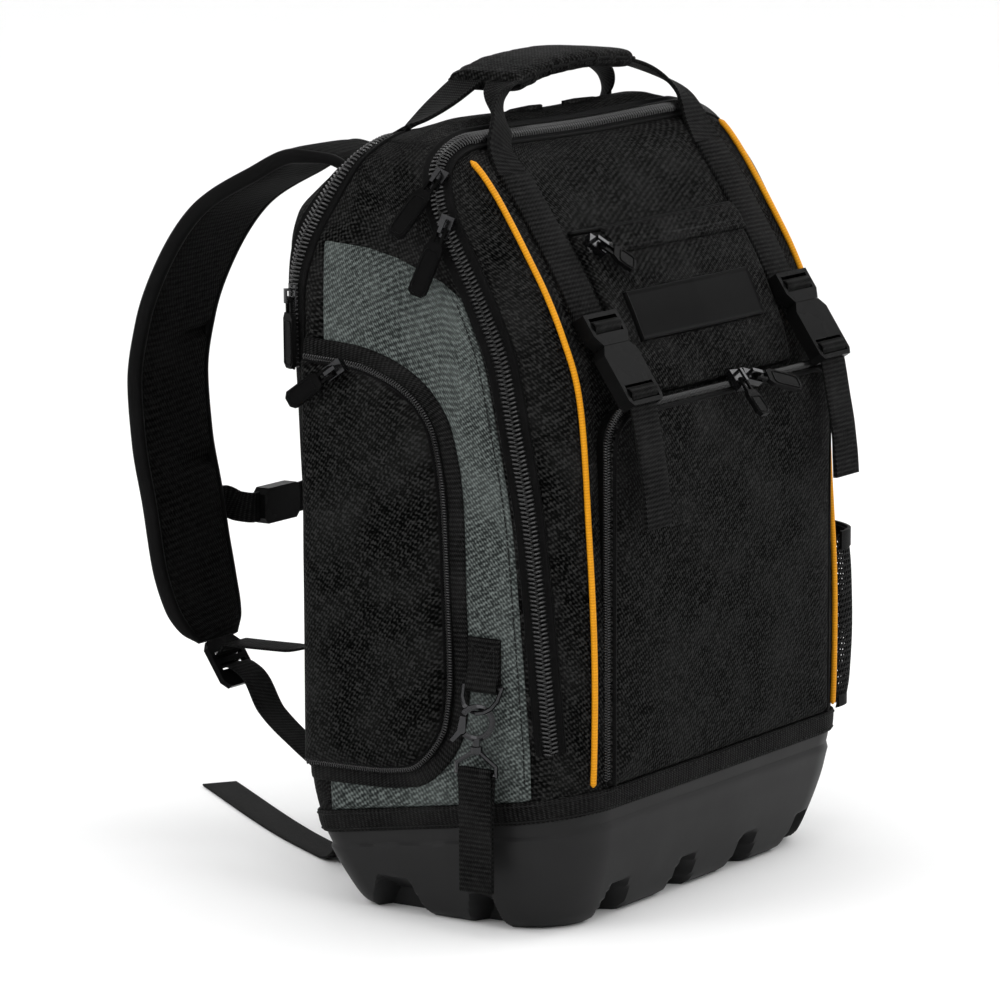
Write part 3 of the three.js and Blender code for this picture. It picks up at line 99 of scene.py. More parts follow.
# Rounded plan ring at a level. around runs 0 to 8: front left arc, front, arc, right side, arc, rear,
# arc, left.
def bagPoint(level, around):
    level, around = np.broadcast_arrays(np.asarray(level, float), np.mod(around, 8.0))
    height, front, rear, half, nose, heel, crown = rowAt(level)
    part = np.floor(around).astype(int)
    f = around - part
    turn = f * math.pi / 2
    share = 2 * f - 1
    sideFrom, sideTo = nose - front, rear - heel
    x = np.select([part == k for k in range(8)], [
        nose - half - nose * np.cos(turn), share * (half - nose), half - nose + nose * np.sin(turn), half,
        half - heel + heel * np.cos(turn), -share * (half - heel), heel - half - heel * np.sin(turn), -half])
    y = np.select([part == k for k in range(8)], [
        nose - front - nose * np.sin(turn), -front - crown * (1 - share ** 2),
        nose - front - nose * np.cos(turn),
        sideFrom + (sideTo - sideFrom) * f, rear - heel + heel * np.sin(turn), rear,
        rear - heel + heel * np.cos(turn), sideTo + (sideFrom - sideTo) * f])
    return np.stack([x, y, height], -1)


# Soft swell of filled cloth: three slow waves, faded out towards the moulded base.
def puffAt(p):
    x, y, z = np.abs(p[..., 0]), p[..., 1], p[..., 2]
    waves = (np.sin(x / 31 + z / 47 + 0.6) + np.sin(y / 26 - z / 38 + 1.9) + 0.8
             * np.sin(z / 21 + x / 60 - y / 44))
    return bag["puff"] * 0.45 * waves * np.clip((z - 95) / 60, 0, 1)


def unit(v):
    return v / np.maximum(np.linalg.norm(v, axis=-1, keepdims=True), 1e-9)


# Point, direction round the bag, direction up it and outward normal.
def bagFrame(level, around):
    d = 0.004
    p = bagPoint(level, around)
    side = bagPoint(level, around + d) - bagPoint(level, around - d)
    rise = bagPoint(level + d, around) - bagPoint(level - d, around)
    return p, side / (2 * d), rise / (2 * d), unit(np.cross(side, rise))


def onBag(level, around, lift):
    p, _, _, out = bagFrame(level, around)
    return p + out * (np.asarray(lift) + puffAt(p))[..., None]


# Walks a spot on the bag to the foot of a target point by least squares on the two surface directions.
def settle(target, level, around, rounds=5):
    for _ in range(rounds):
        p, a, l, _ = bagFrame(level, around)
        d = target - p
        aa, al, ll = (a * a).sum(-1), (a * l).sum(-1), (l * l).sum(-1)
        da, dl = (d * a).sum(-1), (d * l).sum(-1)
        det = np.maximum(aa * ll - al * al, 1e-6)
        around = around + np.clip((ll * da - al * dl) / det, -0.3, 0.3)
        level = np.clip(level + np.clip((aa * dl - al * da) / det, -0.5, 0.5), 0, 16.8)
    return level, around


# Spot on the left side below a point of the side view.
def sideSpot(y, z):
    level = levelAt(z)
    _, front, rear, _, nose, heel, _ = rowAt(level)
    ahead = np.arcsin(np.clip((nose - front - y) / nose, 0, 1)) / (math.pi / 2)
    behind = np.arcsin(np.clip((y - rear + heel) / heel, 0, 1)) / (math.pi / 2)
    flat = (rear - heel - y) / (rear - heel - nose + front)
    return level, np.where(ahead > 0, ahead, np.where(behind > 0, 7 - behind, 7 + np.clip(flat, 0, 1)) - 8)


# Spot on the front below a point of the front view.
def frontSpot(x, z):
    level = levelAt(z)
    _, _, _, half, nose, _, _ = rowAt(level)
    reach = half - nose
    past = np.clip((np.abs(x) - reach) / nose, 0, 1)
    corner = np.arccos(past) / (math.pi / 2)
    middle = 1 + (np.clip(x, -reach, reach) + reach) / (2 * reach)
    return level, np.where(past > 0, np.where(x < 0, corner, 3 - corner), middle)


# Side view lines: distance ahead of the origin and height, as shares of bag["front"] and bag["height"]
sideLines = {
    "mainZip": [(0.825, 0.237), (0.790, 0.370), (0.738, 0.510), (0.665, 0.625), (0.590, 0.715),
                (0.450, 0.797),
                (0.300, 0.865), (0.190, 0.915), (0.115, 0.970), (0.090, 1.05)],
    "laptopZip": [(-0.655, 0.690), (-0.652, 0.790), (-0.600, 0.852), (-0.500, 0.905), (-0.400, 0.955),
                  (-0.345, 0.980), (-0.320, 1.05)],
    "panelTop": [(0.240, 0.820), (0.150, 0.828), (-0.030, 0.845), (-0.210, 0.855), (-0.480, 0.860)],
    "border": [(-0.570, 0.735), (-0.270, 0.730), (-0.030, 0.714), (0.175, 0.682), (0.300, 0.634),
               (0.363, 0.547),
               (0.387, 0.423), (0.400, 0.322), (0.370, 0.258), (0.260, 0.209), (0.080, 0.177),
               (-0.170, 0.169),
               (-0.570, 0.167)],
}


def sideLine(name):
    rows = np.array(sideLines[name])
    return rows * np.array([-bag["front"], bag["height"]])


def lineY(name, z):
    rows = sideLine(name)
    return curveThrough(np.clip(z, rows[0, 1], rows[-1, 1]), rows[:, 1], rows[:, 0])


# Even steps along a curve through the points, each coordinate a cubic of the chord length.
def smoothPath(points, step):
    points = np.asarray(points, float)
    chord = np.concatenate([[0], np.cumsum(np.linalg.norm(np.diff(points, axis=0), axis=1))])
    fine = np.linspace(0, chord[-1], 1200)
    curve = np.stack([curveThrough(fine, chord, points[:, c]) for c in range(points.shape[1])], 1)
    along = np.concatenate([[0], np.cumsum(np.linalg.norm(np.diff(curve, axis=0), axis=1))])
    count = max(int(round(along[-1] / step)), 3)
    return np.stack([np.interp(np.linspace(0, along[-1], count + 1), along, curve[:, c])
                     for c in range(points.shape[1])], 1)


def joinZ(y):
    return bag["joinHeight"] + bag["joinSlope"] * y


# Mesh making
def gridFaces(rows, cols, wrapRows=False, wrapCols=False):
    index = np.arange(rows * cols).reshape(rows, cols)
    down = np.roll(index, -1, 0) if wrapRows else index[1:]
    here = index if wrapRows else index[:-1]
    if wrapCols:
        return np.stack([here, np.roll(here, -1, 1), np.roll(down, -1, 1), down], -1).reshape(-1, 4)
    return np.stack([here[:, :-1], here[:, 1:], down[:, 1:], down[:, :-1]], -1).reshape(-1, 4)


# Lengths along the mean row and the mean column of a grid, in metres.
def clothUv(points):
    across = np.linalg.norm(np.diff(points, axis=1), axis=2).mean(0)
    along = np.linalg.norm(np.diff(points, axis=0), axis=2).mean(1)
    u = np.concatenate([[0], np.cumsum(across)]) * metre
    v = np.concatenate([[0], np.cumsum(along)]) * metre
    return np.stack(np.meshgrid(u, v), -1).reshape(-1, 2)


# Writes whole arrays of points and faces into one mesh object.
def putMesh(name, points, faceSets, material, uv=None, sharp=None):
    points = np.asarray(points, float).reshape(-1, 3)
    faceSets = [np.asarray(f, np.int32) for f in faceSets if len(f)]
    loops = np.concatenate([f.ravel() for f in faceSets]).astype(np.int32)
    sizes = np.concatenate([np.full(len(f), f.shape[1], np.int32) for f in faceSets])
    starts = np.concatenate([[0], np.cumsum(sizes)[:-1]]).astype(np.int32)
    mesh = bpy.data.meshes.new(name)
    mesh.vertices.add(len(points))
    mesh.vertices.foreach_set("co", (points * metre).astype(np.float32).ravel())
    mesh.loops.add(len(loops))
    mesh.loops.foreach_set("vertex_index", loops)
    mesh.polygons.add(len(sizes))
    mesh.polygons.foreach_set("loop_start", starts)
    mesh.polygons.foreach_set("use_smooth", np.ones(len(sizes), bool))
    if uv is not None:
        layer = mesh.uv_layers.new(name="cloth")
        layer.data.foreach_set("uv", np.asarray(uv, np.float32)[loops].ravel())
    mesh.update(calc_edges=True)
    mesh.validate()
    if sharp:
        mesh.set_sharp_from_angle(angle=math.radians(sharp))
    mesh.materials.append(material)
    piece = bpy.data.objects.new(name, mesh)
    bpy.context.scene.collection.objects.link(piece)
    return piece


# Faces of a closed shape turned so that they point outwards.
def facing(points, faces):
    p = points.reshape(-1, 3)
    volume = sum(np.einsum("ij,ij->i", p[f[:, 0]], np.cross(p[f[:, 1]], p[f[:, 2]])).sum()
                 + np.einsum("ij,ij->i", p[f[:, 0]], np.cross(p[f[:, 2]], p[f[:, -1]])).sum()
                 for f in faces if f.shape[1] == 4)
    return faces if volume > 0 else [f[:, ::-1] for f in faces]


# Skin of closed rings carried along a path, with a face at each end.
def tubeFaces(rings, wrap=False):
    rows, cols = rings.shape[:2]
    skin = [gridFaces(rows, cols, wrapRows=wrap, wrapCols=True)]
    if not wrap:
        first = np.arange(cols)
        skin += [first[None, ::-1], (first + (rows - 1) * cols)[None, :]]
    return facing(rings, skin)


def putTube(name, rings, material, wrap=False, sharp=None):
    return putMesh(name, rings, tubeFaces(rings, wrap), material, clothUv(rings), sharp)


# Grid whose normals point out, with its thickness behind it.
def putSheet(name, points, material, thick, sharp=None):
    piece = putMesh(name, points, [gridFaces(*points.shape[:2])], material, clothUv(points), sharp)
    wall = piece.modifiers.new("wall", "SOLIDIFY")
    wall.thickness, wall.offset = thick * metre, -1
    return piece


# Several closed shapes (points, face sets) as one piece, its edges rounded.
def putParts(name, parts, material, bevel=0, sharp=40):
    points, sets, at = [], {}, 0
    for p, faces in parts:
        p = np.asarray(p, float).reshape(-1, 3)
        points.append(p)
        for f in faces:
            sets.setdefault(f.shape[1], []).append(f + at)
        at += len(p)
    whole = np.concatenate(points)
    piece = putMesh(name, whole, [np.concatenate(f) for f in sets.values()], material,
                    whole[:, [0, 2]] * metre, sharp)
    if bevel:
        edge = piece.modifiers.new("edge", "BEVEL")
        edge.width, edge.segments, edge.limit_method = bevel * metre, 3, "ANGLE"
        edge.angle_limit = math.radians(35)
        edge.harden_normals = False
    return piece


# Copies of one small shape at each origin, turned to each set of three axes.
def manyOf(base, faces, origins, axes):
    points = origins[:, None, :] + np.einsum("vk,nkj->nvj", base, axes)
    shift = (np.arange(len(origins)) * len(base))[:, None, None]
    return points.reshape(-1, 3), [(f[None] + shift).reshape(-1, f.shape[1]) for f in faces]


# Round ring carried along a path, its plane square to the path.
def rod(path, radius, sides=12, wrap=False, flatten=1.0, up=(0, 0, 1)):
    path = np.asarray(path, float)
    if wrap:
        along = unit(np.roll(path, -1, 0) - np.roll(path, 1, 0))
    else:
        along = unit(np.gradient(path, axis=0))
    side = unit(np.cross(along, np.asarray(up, float)) + 1e-9)
    over = np.cross(side, along)
    turn = np.linspace(0, 2 * math.pi, sides, endpoint=False)
    radius = np.broadcast_to(np.asarray(radius, float), (len(path),))[:, None, None]
    ring = radius * (np.cos(turn)[None, :, None] * side[:, None] + flatten * np.sin(turn)[None, :, None]
                     * over[:, None])
    return path[:, None] + ring


def rodPart(path, radius, sides=12, wrap=False, flatten=1.0, up=(0, 0, 1)):
    rings = rod(path, radius, sides, wrap, flatten, up)
    return rings.reshape(-1, 3), tubeFaces(rings, wrap)


# Piece rides on a body and stands for the named solids, which it hides.
def dress(piece, body, slotName, *nodes):
    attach(piece, body)
    if nodes:
        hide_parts(*nodes)
    return piece


# Materials
# Adds a shader node and fills its sockets: a value, or another node's output to link.
def nodeIn(tree, kind, **values):
    node = tree.nodes.new(kind)
    for name, value in values.items():
        if hasattr(node, name) and not name.startswith("in"):
            setattr(node, name, value)
            continue
        socket = node.inputs[int(name[2:])]
        if isinstance(value, bpy.types.NodeSocket):
            tree.links.new(value, socket)
        else:
            socket.default_value = value
    return node


def mathIn(tree, operation, a, b=0.0, c=0.0):
    return nodeIn(tree, "ShaderNodeMath", operation=operation, in0=a, in1=b, in2=c).outputs[0]


def newGroup(name, inputs, outputs):
    group = bpy.data.node_groups.new(name, "ShaderNodeTree")
    for label, kind, value in inputs:
        socket = group.interface.new_socket(label, in_out="INPUT", socket_type=kind)
        if value is not None:
            socket.default_value = value
    for label, kind in outputs:
        group.interface.new_socket(label, in_out="OUTPUT", socket_type=kind)
    return group, group.nodes.new("NodeGroupInput"), group.nodes.new("NodeGroupOutput")


# Basket weave: a sine across times a sine along. Slubs, two stretched noises, make its threads uneven.
def makeWeave():
    group, inside, outside = newGroup("weave", [
        ("Place", "NodeSocketVector", None), ("Threads", "NodeSocketFloat", 2400.0),
        ("Slant", "NodeSocketFloat", 0.0),
        ("Uneven", "NodeSocketFloat", 0.6)], [("Raise", "NodeSocketFloat"), ("Patches", "NodeSocketFloat")])
    place, threads, slant, uneven = inside.outputs[:4]
    parts = nodeIn(group, "ShaderNodeSeparateXYZ", in0=place)
    u = mathIn(group, "MULTIPLY", parts.outputs[0], threads)
    v = mathIn(group, "MULTIPLY", parts.outputs[1], threads)
    v = mathIn(group, "ADD", v, mathIn(group, "MULTIPLY", u, slant))
    weave = mathIn(group, "MULTIPLY", mathIn(group, "SINE", u), mathIn(group, "SINE", v))
    raised = mathIn(group, "MULTIPLY_ADD", weave, 0.5, 0.5)
    slubs = []
    for stretch in ((620, 150, 1), (150, 620, 1)):
        longer = nodeIn(group, "ShaderNodeVectorMath", operation="MULTIPLY", in0=place, in1=stretch)
        noise = nodeIn(group, "ShaderNodeTexNoise", noise_dimensions="3D")
        group.links.new(longer.outputs[0], noise.inputs["Vector"])
        noise.inputs["Scale"].default_value = 1
        noise.inputs["Detail"].default_value = 2
        slubs.append(mathIn(group, "SUBTRACT", noise.outputs[0], 0.5))
    slub = mathIn(group, "MULTIPLY", mathIn(group, "ADD", slubs[0], slubs[1]), uneven)
    group.links.new(mathIn(group, "MAXIMUM", mathIn(group, "ADD", raised, slub), 0.0), outside.inputs[0])
    slow = nodeIn(group, "ShaderNodeTexNoise", noise_dimensions="3D")
    group.links.new(place, slow.inputs["Vector"])
    slow.inputs["Scale"].default_value = 22
    slow.inputs["Detail"].default_value = 5
    group.links.new(slow.outputs[0], outside.inputs[1])
    return group


# Fine grain and slow blotches for moulded and metal parts.
def makeGrain():
    group, inside, outside = newGroup("grain", [
        ("Place", "NodeSocketVector", None), ("Fineness", "NodeSocketFloat", 2500.0)],
        [("Grain", "NodeSocketFloat"), ("Blotches", "NodeSocketFloat")])
    fine = group.nodes.new("ShaderNodeTexNoise")
    group.links.new(inside.outputs[0], fine.inputs["Vector"])
    group.links.new(inside.outputs[1], fine.inputs["Scale"])
    fine.inputs["Detail"].default_value = 4
    slow = group.nodes.new("ShaderNodeTexNoise")
    group.links.new(inside.outputs[0], slow.inputs["Vector"])
    slow.inputs["Scale"].default_value = 28
    slow.inputs["Detail"].default_value = 4
    group.links.new(fine.outputs[0], outside.inputs[0])
    group.links.new(slow.outputs[0], outside.inputs[1])
    return group


weaveGroup = makeWeave()
grainGroup = makeGrain()


def startMaterial(name):
    material = bpy.data.materials.new(name)
    material.use_nodes = True
    tree = material.node_tree
    shader = tree.nodes["Principled BSDF"]
    return material, tree, shader


def mixColour(tree, factor, low, high):
    mix = tree.nodes.new("ShaderNodeMix")
    mix.data_type = "RGBA"
    tree.links.new(factor, mix.inputs["Factor"])
    for socket, value in ((mix.inputs["A"], low), (mix.inputs["B"], high)):
        colourSocket = [s for s in mix.inputs if s.name == socket.name and s.type == "RGBA"][0]
        if isinstance(value, bpy.types.NodeSocket):
            tree.links.new(value, colourSocket)
        else:
            colourSocket.default_value = (*value, 1)
    return [s for s in mix.outputs if s.type == "RGBA"][0]


# Woven cloth: the raised threads get a lighter colour, a painted highlight, and the gaps between them a
# darker one, painted shade.
def clothMaterial(name, look):
    material, tree, shader = startMaterial(name)
    uv = tree.nodes.new("ShaderNodeUVMap")
    uv.uv_map = "cloth"
    weave = tree.nodes.new("ShaderNodeGroup")
    weave.node_tree = weaveGroup
    tree.links.new(uv.outputs[0], weave.inputs["Place"])
    weave.inputs["Threads"].default_value = math.pi / (look["pitch"] * metre)
    weave.inputs["Slant"].default_value = look.get("slant", 0.0)
    weave.inputs["Uneven"].default_value = look.get("uneven", 0.5)
    threads = mathIn(tree, "POWER", weave.outputs["Raise"], look.get("sharpness", 1.6))
    # The thread colour is a painted highlight on the raised threads, the gap colour painted shade between
    # them; the same weave also drives the bump.
    thread = mixColour(tree, threads, look["gap"], look["thread"])
    fade = mathIn(tree, "MULTIPLY", mathIn(tree, "SUBTRACT", weave.outputs["Patches"], 0.42),
                  look.get("patches", 1.2))
    worn = mixColour(tree, fade, thread, look["worn"])
    tree.links.new(worn, shader.inputs["Base Color"])
    rough = mathIn(tree, "MULTIPLY_ADD", weave.outputs["Patches"], 0.25, look["roughness"] - 0.12)
    tree.links.new(rough, shader.inputs["Roughness"])
    bump = tree.nodes.new("ShaderNodeBump")
    bump.inputs["Strength"].default_value = look.get("strength", 0.8)
    bump.inputs["Distance"].default_value = look["depth"] * metre
    tree.links.new(weave.outputs["Raise"], bump.inputs["Height"])
    tree.links.new(bump.outputs[0], shader.inputs["Normal"])
    shader.inputs["Specular IOR Level"].default_value = look.get("specular", 0.4)
    return material


# Moulded plastic or lacquered metal: fine grain, slow blotches in colour and gloss.
def hardMaterial(name, look):
    material, tree, shader = startMaterial(name)
    place = tree.nodes.new("ShaderNodeTexCoord")
    grain = tree.nodes.new("ShaderNodeGroup")
    grain.node_tree = grainGroup
    tree.links.new(place.outputs["Object"], grain.inputs["Place"])
    grain.inputs["Fineness"].default_value = look.get("fineness", 2500)
    colour = mixColour(tree, grain.outputs["Blotches"], look["dark"], look["light"])
    tree.links.new(colour, shader.inputs["Base Color"])
    rough = mathIn(tree, "MULTIPLY_ADD", grain.outputs["Blotches"], look.get("glossChange", 0.2),
                   look["roughness"] - 0.1)
    tree.links.new(rough, shader.inputs["Roughness"])
    bump = tree.nodes.new("ShaderNodeBump")
    bump.inputs["Strength"].default_value = look.get("strength", 0.35)
    bump.inputs["Distance"].default_value = look.get("depth", 0.05) * metre
    tree.links.new(grain.outputs["Grain"], bump.inputs["Height"])
    tree.links.new(bump.outputs[0], shader.inputs["Normal"])
    shader.inputs["Metallic"].default_value = look.get("metallic", 0.0)
    shader.inputs["Specular IOR Level"].default_value = look.get("specular", 0.5)
    return material


# In every cloth look, thread is a painted highlight colour for the raised threads and gap a painted shade
# colour for the spaces between them.
finishes = {
    "cloth": clothMaterial("blackCloth", {
        "pitch": 1.8, "gap": (0.0002, 0.0002, 0.0002), "thread": (0.0205, 0.0205, 0.020),
        "worn": (0.026, 0.026, 0.0255),
        "roughness": 0.6, "depth": 0.40, "specular": 0.012, "uneven": 1.9, "slant": 0.5, "sharpness": 2.3}),
    "panel": clothMaterial("greyCloth", {
        "pitch": 1.8, "gap": (0.012, 0.014, 0.0135), "thread": (0.118, 0.135, 0.129),
        "worn": (0.130, 0.147, 0.141),
        "roughness": 0.6, "depth": 0.40, "specular": 0.04, "uneven": 1.5, "slant": 0.5, "sharpness": 1.8}),
    "webbing": clothMaterial("blackWebbing", {
        "pitch": 1.5, "gap": (0.0006, 0.0006, 0.0006), "thread": (0.018, 0.018, 0.0177),
        "worn": (0.023, 0.023, 0.0226),
        "roughness": 0.6, "depth": 0.45, "slant": 1.0, "specular": 0.02, "uneven": 0.7, "sharpness": 1.9}),
    "tape": clothMaterial("zipTape", {
        "pitch": 0.6, "gap": (0.002, 0.002, 0.002), "thread": (0.006, 0.006, 0.006),
        "worn": (0.008, 0.008, 0.008),
        "roughness": 0.5, "depth": 0.1, "specular": 0.025}),
    "padding": clothMaterial("airMesh", {
        "pitch": 2.3, "gap": (0.0001, 0.0001, 0.0001), "thread": (0.0105, 0.0105, 0.0102),
        "worn": (0.012, 0.012, 0.0118), "roughness": 0.7, "depth": 0.6, "slant": 0.9, "sharpness": 1.2,
        "specular": 0.015, "uneven": 1.4}),
    "net": clothMaterial("pocketNet", {
        "pitch": 0.5, "gap": (0.003, 0.003, 0.003), "thread": (0.013, 0.013, 0.013),
        "worn": (0.013, 0.013, 0.013),
        "roughness": 0.7, "depth": 0.1, "specular": 0.05}),
    "piping": clothMaterial("yellowPiping", {
        "pitch": 0.9, "gap": (0.50, 0.19, 0.003), "thread": (0.78, 0.34, 0.008), "worn": (0.82, 0.38, 0.012),
        "roughness": 0.5, "depth": 0.12, "patches": 0.6, "slant": 1.0, "specular": 0.15}),
    "boot": hardMaterial("mouldedBase", {
        "dark": (0.0095, 0.0095, 0.0096), "light": (0.0135, 0.0135, 0.0137), "roughness": 0.50, "depth": 0.06,
        "fineness": 1800, "specular": 0.13}),
    "plastic": hardMaterial("blackPlastic", {
        "dark": (0.0025, 0.0025, 0.0025), "light": (0.0045, 0.0045, 0.0045), "roughness": 0.26,
        "specular": 0.016}),
    "rubber": hardMaterial("badgeRubber", {
        "dark": (0.004, 0.004, 0.004), "light": (0.007, 0.007, 0.007), "roughness": 0.40, "fineness": 1600,
        "specular": 0.014}),
    "teeth": hardMaterial("zipTeeth", {
        "dark": (0.010, 0.010, 0.010), "light": (0.022, 0.022, 0.022), "roughness": 0.24, "strength": 0.1,
        "specular": 0.5}),
    "metal": hardMaterial("blackMetal", {
        "dark": (0.022, 0.022, 0.023), "light": (0.05, 0.05, 0.052), "roughness": 0.22, "metallic": 0.9,
        "strength": 0.1}),
    "thread": hardMaterial("sewingThread", {
        "dark": (0.006, 0.006, 0.006), "light": (0.014, 0.014, 0.014), "roughness": 0.6, "specular": 0.05}),
}
print("materials made")


# Cloth shells
shells = {"wall": 2.4, "rows": 90, "columns": 130, "tuck": 1.4}


# Cloth tucks inside the moulded base below the join.
def shellLift(p):
    return -shells["tuck"] * np.clip((joinZ(p[..., 1]) + 2 - p[..., 2]) / 2, 0, 1)


# Where a side view line crosses the ring of a level, on the left.
def crossing(level, name):
    z = rowAt(level)[0]
    return sideSpot(lineY(name, z), z)[1]


def shellPoints(levels, fromSpot, toSpot, columns):
    share = np.linspace(0, 1, columns)[None]
    around = fromSpot[:, None] + (toSpot - fromSpot)[:, None] * share
    level = np.broadcast_to(levels[:, None], around.shape)
    p = bagPoint(level, around)
    return onBag(level, around, shellLift(p))


# Level at which the line meets the bag's front (reach 1) or rear (reach 2) on its way over the top.
def topLevel(name, reach):
    levels = np.linspace(11, 16, 800)
    rows = rowAt(levels)
    gap = lineY(name, rows[0]) * (-1 if reach == 1 else 1) - rows[reach]
    return levels[np.argmax(gap > 0)]


mainTop = topLevel("mainZip", 1)
laptopTop = topLevel("laptopZip", 2)


def makeShells():
    low = levelAt(40.0)
    levels = np.linspace(low, mainTop - 0.02, shells["rows"])
    left = crossing(levels, "mainZip")
    front = shellPoints(levels, left, 3 - left, shells["columns"])
    dress(putSheet("front_cloth", front, finishes["cloth"], shells["wall"]), "bag", "cloth", "front_shell")
    levels = np.linspace(low, laptopTop - 0.02, shells["rows"])
    left = crossing(levels, "laptopZip")
    rear = shellPoints(levels, 3 - left, 8 + left, shells["columns"])
    dress(putSheet("rear_cloth", rear, finishes["cloth"], shells["wall"]), "bag", "cloth", "rear_shell")
    levels = np.linspace(low, 17 - 0.12, 150)
    left = np.where(levels < laptopTop, crossing(np.minimum(levels, laptopTop), "laptopZip"), -2.5)
    body = shellPoints(levels, left, 3 - left, 180)
    crest = body[-1] * [1, 0, 0] + [0, body[-1, :, 1].mean(), bag["height"]]
    body = np.concatenate([body, crest[None]])
    p = body[:-1, :-1]
    faces = gridFaces(*body.shape[:2])
    behind = p[..., 1] > lineY("mainZip", p[..., 2]) - 2
    overTop = (p[..., 1] < lineY("laptopZip", np.maximum(p[..., 2], 343)) + 2) | (p[..., 2] < 470)
    keep = (behind & overTop).ravel()
    piece = putMesh("body_cloth", body, [faces[keep]], finishes["cloth"], clothUv(body))
    wall = piece.modifiers.new("wall", "SOLIDIFY")
    wall.thickness, wall.offset = shells["wall"] * metre, -1
    dress(piece, "bag", "cloth", "body_shell")
    print("cloth shells made")


# Bands that follow the bag
# Point, direction along, direction across and normal down a run of spots on the bag.
def bandFrames(level, around, wrap=False):
    p, _, _, out = bagFrame(level, around)
    along = unit(np.roll(p, -1, 0) - np.roll(p, 1, 0) if wrap else np.gradient(p, axis=0))
    return p, along, unit(np.cross(out, along)), out


# Spots at even distances along a run of spots.
def evenSpots(level, around, step):
    p = bagPoint(level, around)
    run = np.concatenate([[0], np.cumsum(np.linalg.norm(np.diff(p, axis=0), axis=1))])
    count = max(int(round(run[-1] / step)), 2)
    at = np.linspace(0, run[-1], count + 1)
    return np.interp(at, run, level), np.interp(at, run, around)


# Cross section of (across, lift) points carried along spots of the bag, each laid on the cloth.
def bandRings(level, around, section, wrap=False):
    p, _, across, _ = bandFrames(level, around, wrap)
    section = np.asarray(section, float)
    target = p[:, None] + across[:, None] * section[None, :, 0, None]
    spread = np.broadcast_to(level[:, None], target.shape[:2])
    turn = np.broadcast_to(around[:, None], target.shape[:2])
    spotLevel, spotAround = settle(target, spread, turn)
    return onBag(spotLevel, spotAround, np.broadcast_to(section[None, :, 1], target.shape[:2]))


def mirrored(points):
    return points * np.array([-1, 1, 1])


# Two rows of curved bars that meet in the middle, half a step apart.
def zipTeeth(level, around, look, name):
    level, around = evenSpots(level, around, look["step"])
    p, _, _, out = bandFrames(level, around)
    p = p + out * (puffAt(p) + look["seat"])[:, None]
    return teethOn(p, out, look, name)


mainZipLook = {"half": 4.5, "rise": 2.1, "bar": 1.0, "step": 2.75, "seat": 0.7}
fineZipLook = {"half": 2.4, "rise": 1.2, "bar": 0.6, "step": 1.7, "seat": 0.5}
tapeSection = [(-9.6, -0.6), (-9.8, 0.5), (-9.2, 1.5), (-8.0, 1.7), (-7.0, 1.0), (-5.4, 0.75), (-3, 0.7),
               (3, 0.7),
               (5.4, 0.75), (7.0, 1.0), (8.0, 1.7), (9.2, 1.5), (9.8, 0.5), (9.6, -0.6), (0, -0.8)]


# Spots of a zip that climbs the left side, crosses the top and comes down the right side.
def overTopSpots(name, foot, top, frontSide):
    z = np.concatenate([np.linspace(foot, 440, 90), np.linspace(442, rowAt(top)[0] - 0.01, 160)])
    level, around = sideSpot(lineY(name, z), z)
    middle = np.linspace(0.02, 0.98, 60)
    if frontSide:
        turn = np.concatenate([around, 1 + middle, (3 - around)[::-1]])
    else:
        turn = np.concatenate([around, -2 - middle, (-5 - around)[::-1]])
    level = np.concatenate([level, np.full(60, level[-1]), level[::-1]])
    return level, turn


def makeZips():
    for name, foot, top, frontSide, nodes in (
            ("mainZip", 118, mainTop, True, "main_zip"), ("laptopZip", 344, laptopTop, False, "laptop_zip")):
        level, around = overTopSpots(name, foot, top, frontSide)
        tapeLevel, tapeAround = evenSpots(level, around, 2.4)
        rings = bandRings(tapeLevel, tapeAround, tapeSection)
        dress(putTube(nodes + "_tape", rings, finishes["tape"], sharp=50), "bag", "zip", nodes)
        zipTeeth(level, around, mainZipLook, nodes + "_teeth")
    print("zips made")


# Moulded base and its binding
boot = {
    "wall": 3, "notchHeight": 25, "notchDepth": 17, "facet": 5, "slope": 13, "step": 2.0, "stepDown": 16,
    "columns": 600,
    "floorFront": 0.81, "floorRear": 0.61, "floorHalf": 0.9, "floorMiddle": -24,
    "frontNotches": [(-0.62, 38), (-0.11, 32), (0.36, 30), (0.79, 30)],
    "sideNotches": [(0.40, 28), (-0.13, 44)],
}


# How far a place lies inside a trapezoid notch, 0 outside to 1 past its sloping faces.
def notchShare(u, z, middle, width):
    half = width / 2 - width / 4 * np.clip(z / boot["notchHeight"], 0, 1)
    inside = np.minimum((half - np.abs(u - middle)) / boot["facet"],
                        (boot["notchHeight"] - z) / boot["slope"])
    return np.clip(inside, 0, 1)


# Spots all round the bag at the height of the join.
def joinSpots(count, shift=0.0):
    turn = np.linspace(0, 8, count, endpoint=False)
    z = np.full(count, 66.0)
    for _ in range(6):
        z = joinZ(bagPoint(levelAt(z), turn)[..., 1]) + shift
    return levelAt(z), turn


